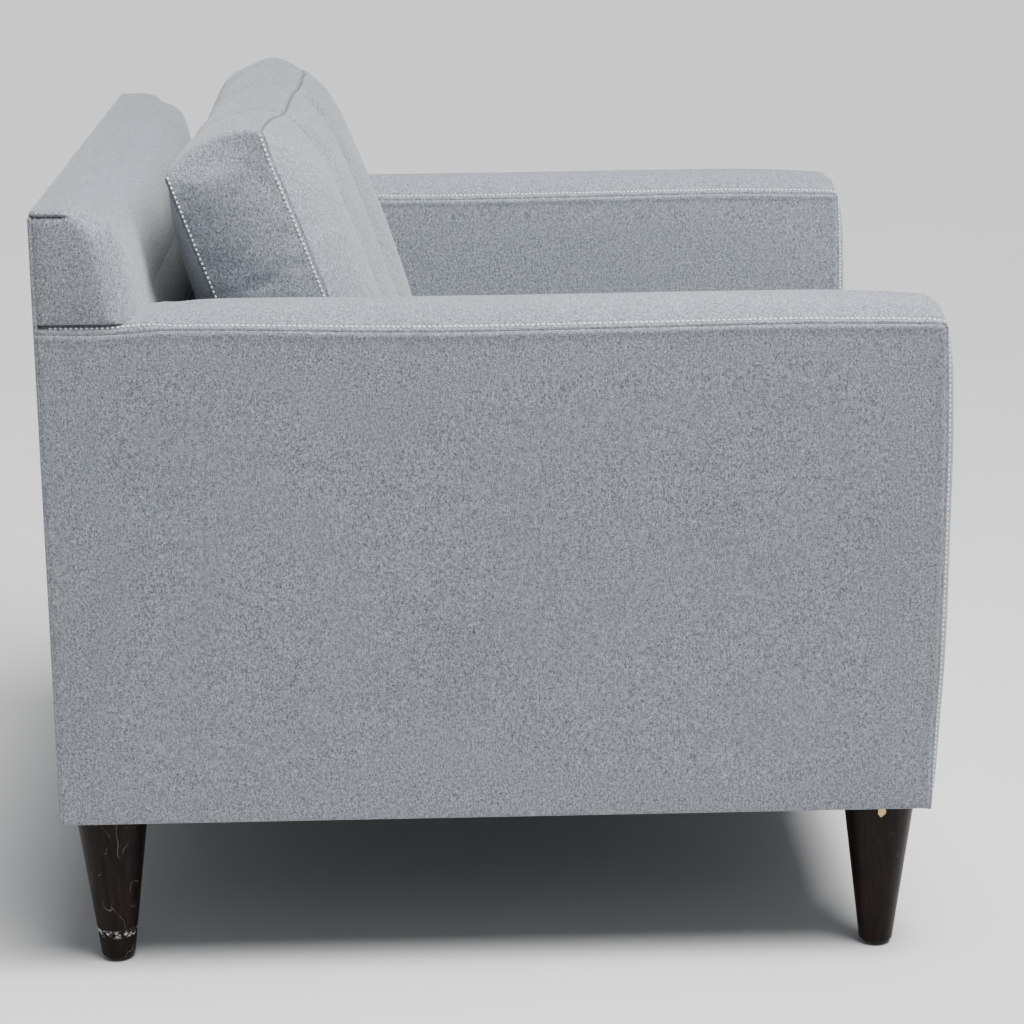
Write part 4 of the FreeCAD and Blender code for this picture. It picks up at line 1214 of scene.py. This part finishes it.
# of the slider's body and its pull: start and end along the zip, width, level in the CAD slider, thickness
sliderParts = ((0, 0.011, 0.0085, 0.45, 0.0019), (0.010, 0.0335, 0.0048, 0.5, 0.0011))


def makeZip(node, sliderNode, body, sliderBody, flatAxis):
    low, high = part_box(node)
    middle = (low + high) / 2
    up = 3 - flatAxis  # the axis across the tape: z on a standing tape, y on a lying one
    outward = Vector((0, 0, 0))
    outward[flatAxis] = 1 if flatAxis == 1 else -1
    face = high if flatAxis == 1 else low
    tape = bmesh.new()
    bmesh.ops.create_cube(tape, size=1)
    size = high - low
    size[flatAxis] = zipper["tape"]
    bmesh.ops.scale(tape, verts=tape.verts, vec=size)
    softenEdges(tape, list(tape.edges), 0.0004)
    bmesh.ops.translate(tape, verts=tape.verts, vec=middle)
    finishPiece(makeObject(node + "Tape", tape, zipCloth), body, [node])
    teeth = bmesh.new()
    count = int((high.x - low.x) / zipper["toothPitch"])
    for i in range(count):
        place = middle.copy()
        place.x = low.x + (i + 0.5) * zipper["toothPitch"]
        place[flatAxis] = face[flatAxis] - outward[flatAxis] * 0.0005
        place[up] += 0.0005 * (1 if i % 2 else -1)
        shape = [zipper["toothPitch"] * 0.42, zipper["toothThick"], zipper["toothThick"]]
        shape[up] = zipper["toothWide"] / 2
        shape[flatAxis] = zipper["toothThick"] / 2
        turn = Matrix.Translation(place) @ Matrix.Diagonal((*shape, 1))
        bmesh.ops.create_icosphere(teeth, subdivisions=1, radius=1.0, matrix=turn)
    finishPiece(makeObject(node + "Teeth", teeth, zipCloth), body)
    makeSlider(sliderNode, sliderBody, flatAxis, up)


def makeSlider(node, body, flatAxis, up):
    low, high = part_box(node)
    bm = bmesh.new()
    for start, end, wide, level, thick in sliderParts:
        made = bmesh.ops.create_cube(bm, size=1)["verts"]
        size = Vector((end - start, 0, 0))
        size[up], size[flatAxis] = wide, thick
        bmesh.ops.scale(bm, verts=made, vec=size)
        place = (low + high) / 2
        place.x = low.x + (start + end) / 2
        place[flatAxis] = mix(low[flatAxis], high[flatAxis], level)
        bmesh.ops.translate(bm, verts=made, vec=place)
        ends = [e for e in bm.edges if e.verts[0] in made and e.verts[1] in made]
        softenEdges(bm, ends, min(thick, wide) * 0.3)
    piece = makeObject(node + "Pull", bm, sliderMetal)
    finishPiece(piece, body, [node])


makeZip("seat_zip", "seat_zip_slider", "seat_cushion", "seat_slider", 1)
makeZip("back_zip", "back_zip_slider", "back_cushion", "back_slider", 2)
print("zips made")


# the CAD pieces that show as they are

slotFinish = {
    "frame_wood": rawTimber, "steel": platedSteel, "spring_steel": springSteel, "foam": foam,
    "webbing": strapCloth, "glide": glidePlastic, "twine": twineThread, "upholstery": coverCloth,
    "deck_cloth": deckLining, "dust_cloth": dustLining, "zip_tape": zipCloth, "zip_metal": sliderMetal,
}
legWood = {"Light": (0.012, 0.0065, 0.0045, 1), "Dark": (0.004, 0.0024, 0.0018, 1), "Roughness": 0.32}
legWear = {
    "leg_front_right": {"Scratches": 0.1, "Scuff": 0.0},
    "leg_front_left": {"Scratches": 0.1, "Scuff": 0.15},
    "leg_rear_right": {"Scratches": 0.9, "Scuff": 1.0},
    "leg_rear_left": {"Scratches": 0.3, "Scuff": 0.2},
}


def setFinish(node, material):
    piece = frame["nodes"][node]
    piece.data.materials.clear()
    piece.data.materials.append(material)


def addChip(material, place, size):  # a patch of bare wood where the lacquer has broken away
    tree = material.node_tree
    shader = tree.nodes["Principled BSDF"]
    position = spot = objectPlace(tree)
    for operation, value in (("SUBTRACT", place), ("DIVIDE", size)):
        settings = {"operation": operation}
        spot = addNode(tree, "ShaderNodeVectorMath", settings, i0=spot, i1=value).outputs[0]
    reach = addNode(tree, "ShaderNodeVectorMath", {"operation": "LENGTH"}, i0=spot).outputs["Value"]
    ragged = plus(tree, reach, times(tree, cloud(tree, position, 260, 3), 0.7))
    chip = between(tree, ragged, 1.35, 1.2)
    bare = blendColour(tree, cloud(tree, position, 500), (0.62, 0.40, 0.17, 1), (0.85, 0.62, 0.33, 1))
    below = shader.inputs["Base Color"].links[0].from_socket
    tree.links.new(blendColour(tree, chip, below, bare), shader.inputs["Base Color"])
    rough = shader.inputs["Roughness"].links[0].from_socket
    rough = calc(tree, "MAXIMUM", rough, times(tree, chip, 0.75))
    tree.links.new(rough, shader.inputs["Roughness"])


for entry in frame["record"]["subparts"]:
    setFinish(entry["node"], slotFinish.get(entry["material_slot"], rawTimber))
for node, wear in legWear.items():
    setFinish(node, woodMaterial(node + "Wood", {**legWood, **wear}, gloss=0.10))
legLow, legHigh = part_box("leg_front_right")
chipPlace = (legLow.x + 0.0015, (legLow.y + legHigh.y) / 2 + 0.002, legHigh.z - 0.010)
addChip(frame["nodes"]["leg_front_right"].data.materials[0], chipPlace, (0.006, 0.004, 0.006))
print("CAD pieces finished")


# floor, light and camera

studio = {
    "floor": (0.76, 0.755, 0.745, 1), "world": (0.88, 0.94, 1.0, 1), "worldStrength": 0.27,
    "sun": 4.4, "sunSpread": 0.5, "sunDirection": (0.22, 0.25, -1),
}
# where each soft light stands, its size and its power
softLights = {
    "topLight": ((-0.5, -0.45, 1.85), 0.9, 38),
    "sideLight": ((-3.4, 0.6, 2.2), 2.2, 5),
}
view = {"place": (-2.9968, 0.0564, 1.1744), "heading": -1.527, "down": 15.524, "roll": -0.5855, "lens": 101.9}


def makeFloor():
    bm = gridForm(1, 1)
    bmesh.ops.scale(bm, verts=bm.verts, vec=(40, 40, 1))
    bmesh.ops.translate(bm, verts=bm.verts, vec=(-20, -20, -0.0005))
    material, tree, shader = newMaterial("floorPaint", {"Roughness": 0.6})
    paint = blendColour(tree, cloud(tree, stretched(tree), 3, 3), studio["floor"],
                        tuple(0.96 * c for c in studio["floor"]))
    tree.links.new(paint, shader.inputs["Base Color"])
    makeObject("floor", bm, material, smooth=False)


def placeInScene(name, data, direction=None, place=(0, 0, 0)):
    holder = bpy.data.objects.new(name, data)
    bpy.context.scene.collection.objects.link(holder)
    holder.location = place
    if direction:
        holder.rotation_euler = direction.to_track_quat("-Z", "Y").to_euler()
    return holder


def makeLight():
    world = bpy.data.worlds.new("studio")
    world.use_nodes = True
    background = world.node_tree.nodes["Background"]
    background.inputs[0].default_value = studio["world"]
    background.inputs[1].default_value = studio["worldStrength"]
    bpy.context.scene.world = world
    sky = bpy.data.lights.new("skyLight", "SUN")
    sky.energy, sky.angle = studio["sun"], studio["sunSpread"]
    placeInScene("skyLight", sky, Vector(studio["sunDirection"]))
    aim = Vector((0, 0, 0.5))
    for name, (place, size, power) in softLights.items():
        lamp = bpy.data.lights.new(name, "AREA")
        lamp.shape, lamp.size, lamp.energy = "DISK", size, power
        placeInScene(name, lamp, aim - Vector(place), place)


def makeCamera():
    camera = bpy.data.cameras.new("camera")
    camera.lens, camera.sensor_width = view["lens"], 36
    camera.clip_start, camera.clip_end = 0.05, 50
    holder = placeInScene("camera", camera)
    angles = (math.radians(90 - view["down"]), 0, math.radians(view["heading"] - 90))
    turn = Matrix.Rotation(math.radians(view["roll"]), 4, "Z")
    holder.matrix_world = Matrix.Translation(view["place"]) @ Euler(angles).to_matrix().to_4x4() @ turn
    bpy.context.scene.camera = holder


makeFloor()
makeLight()
makeCamera()
print("studio made")
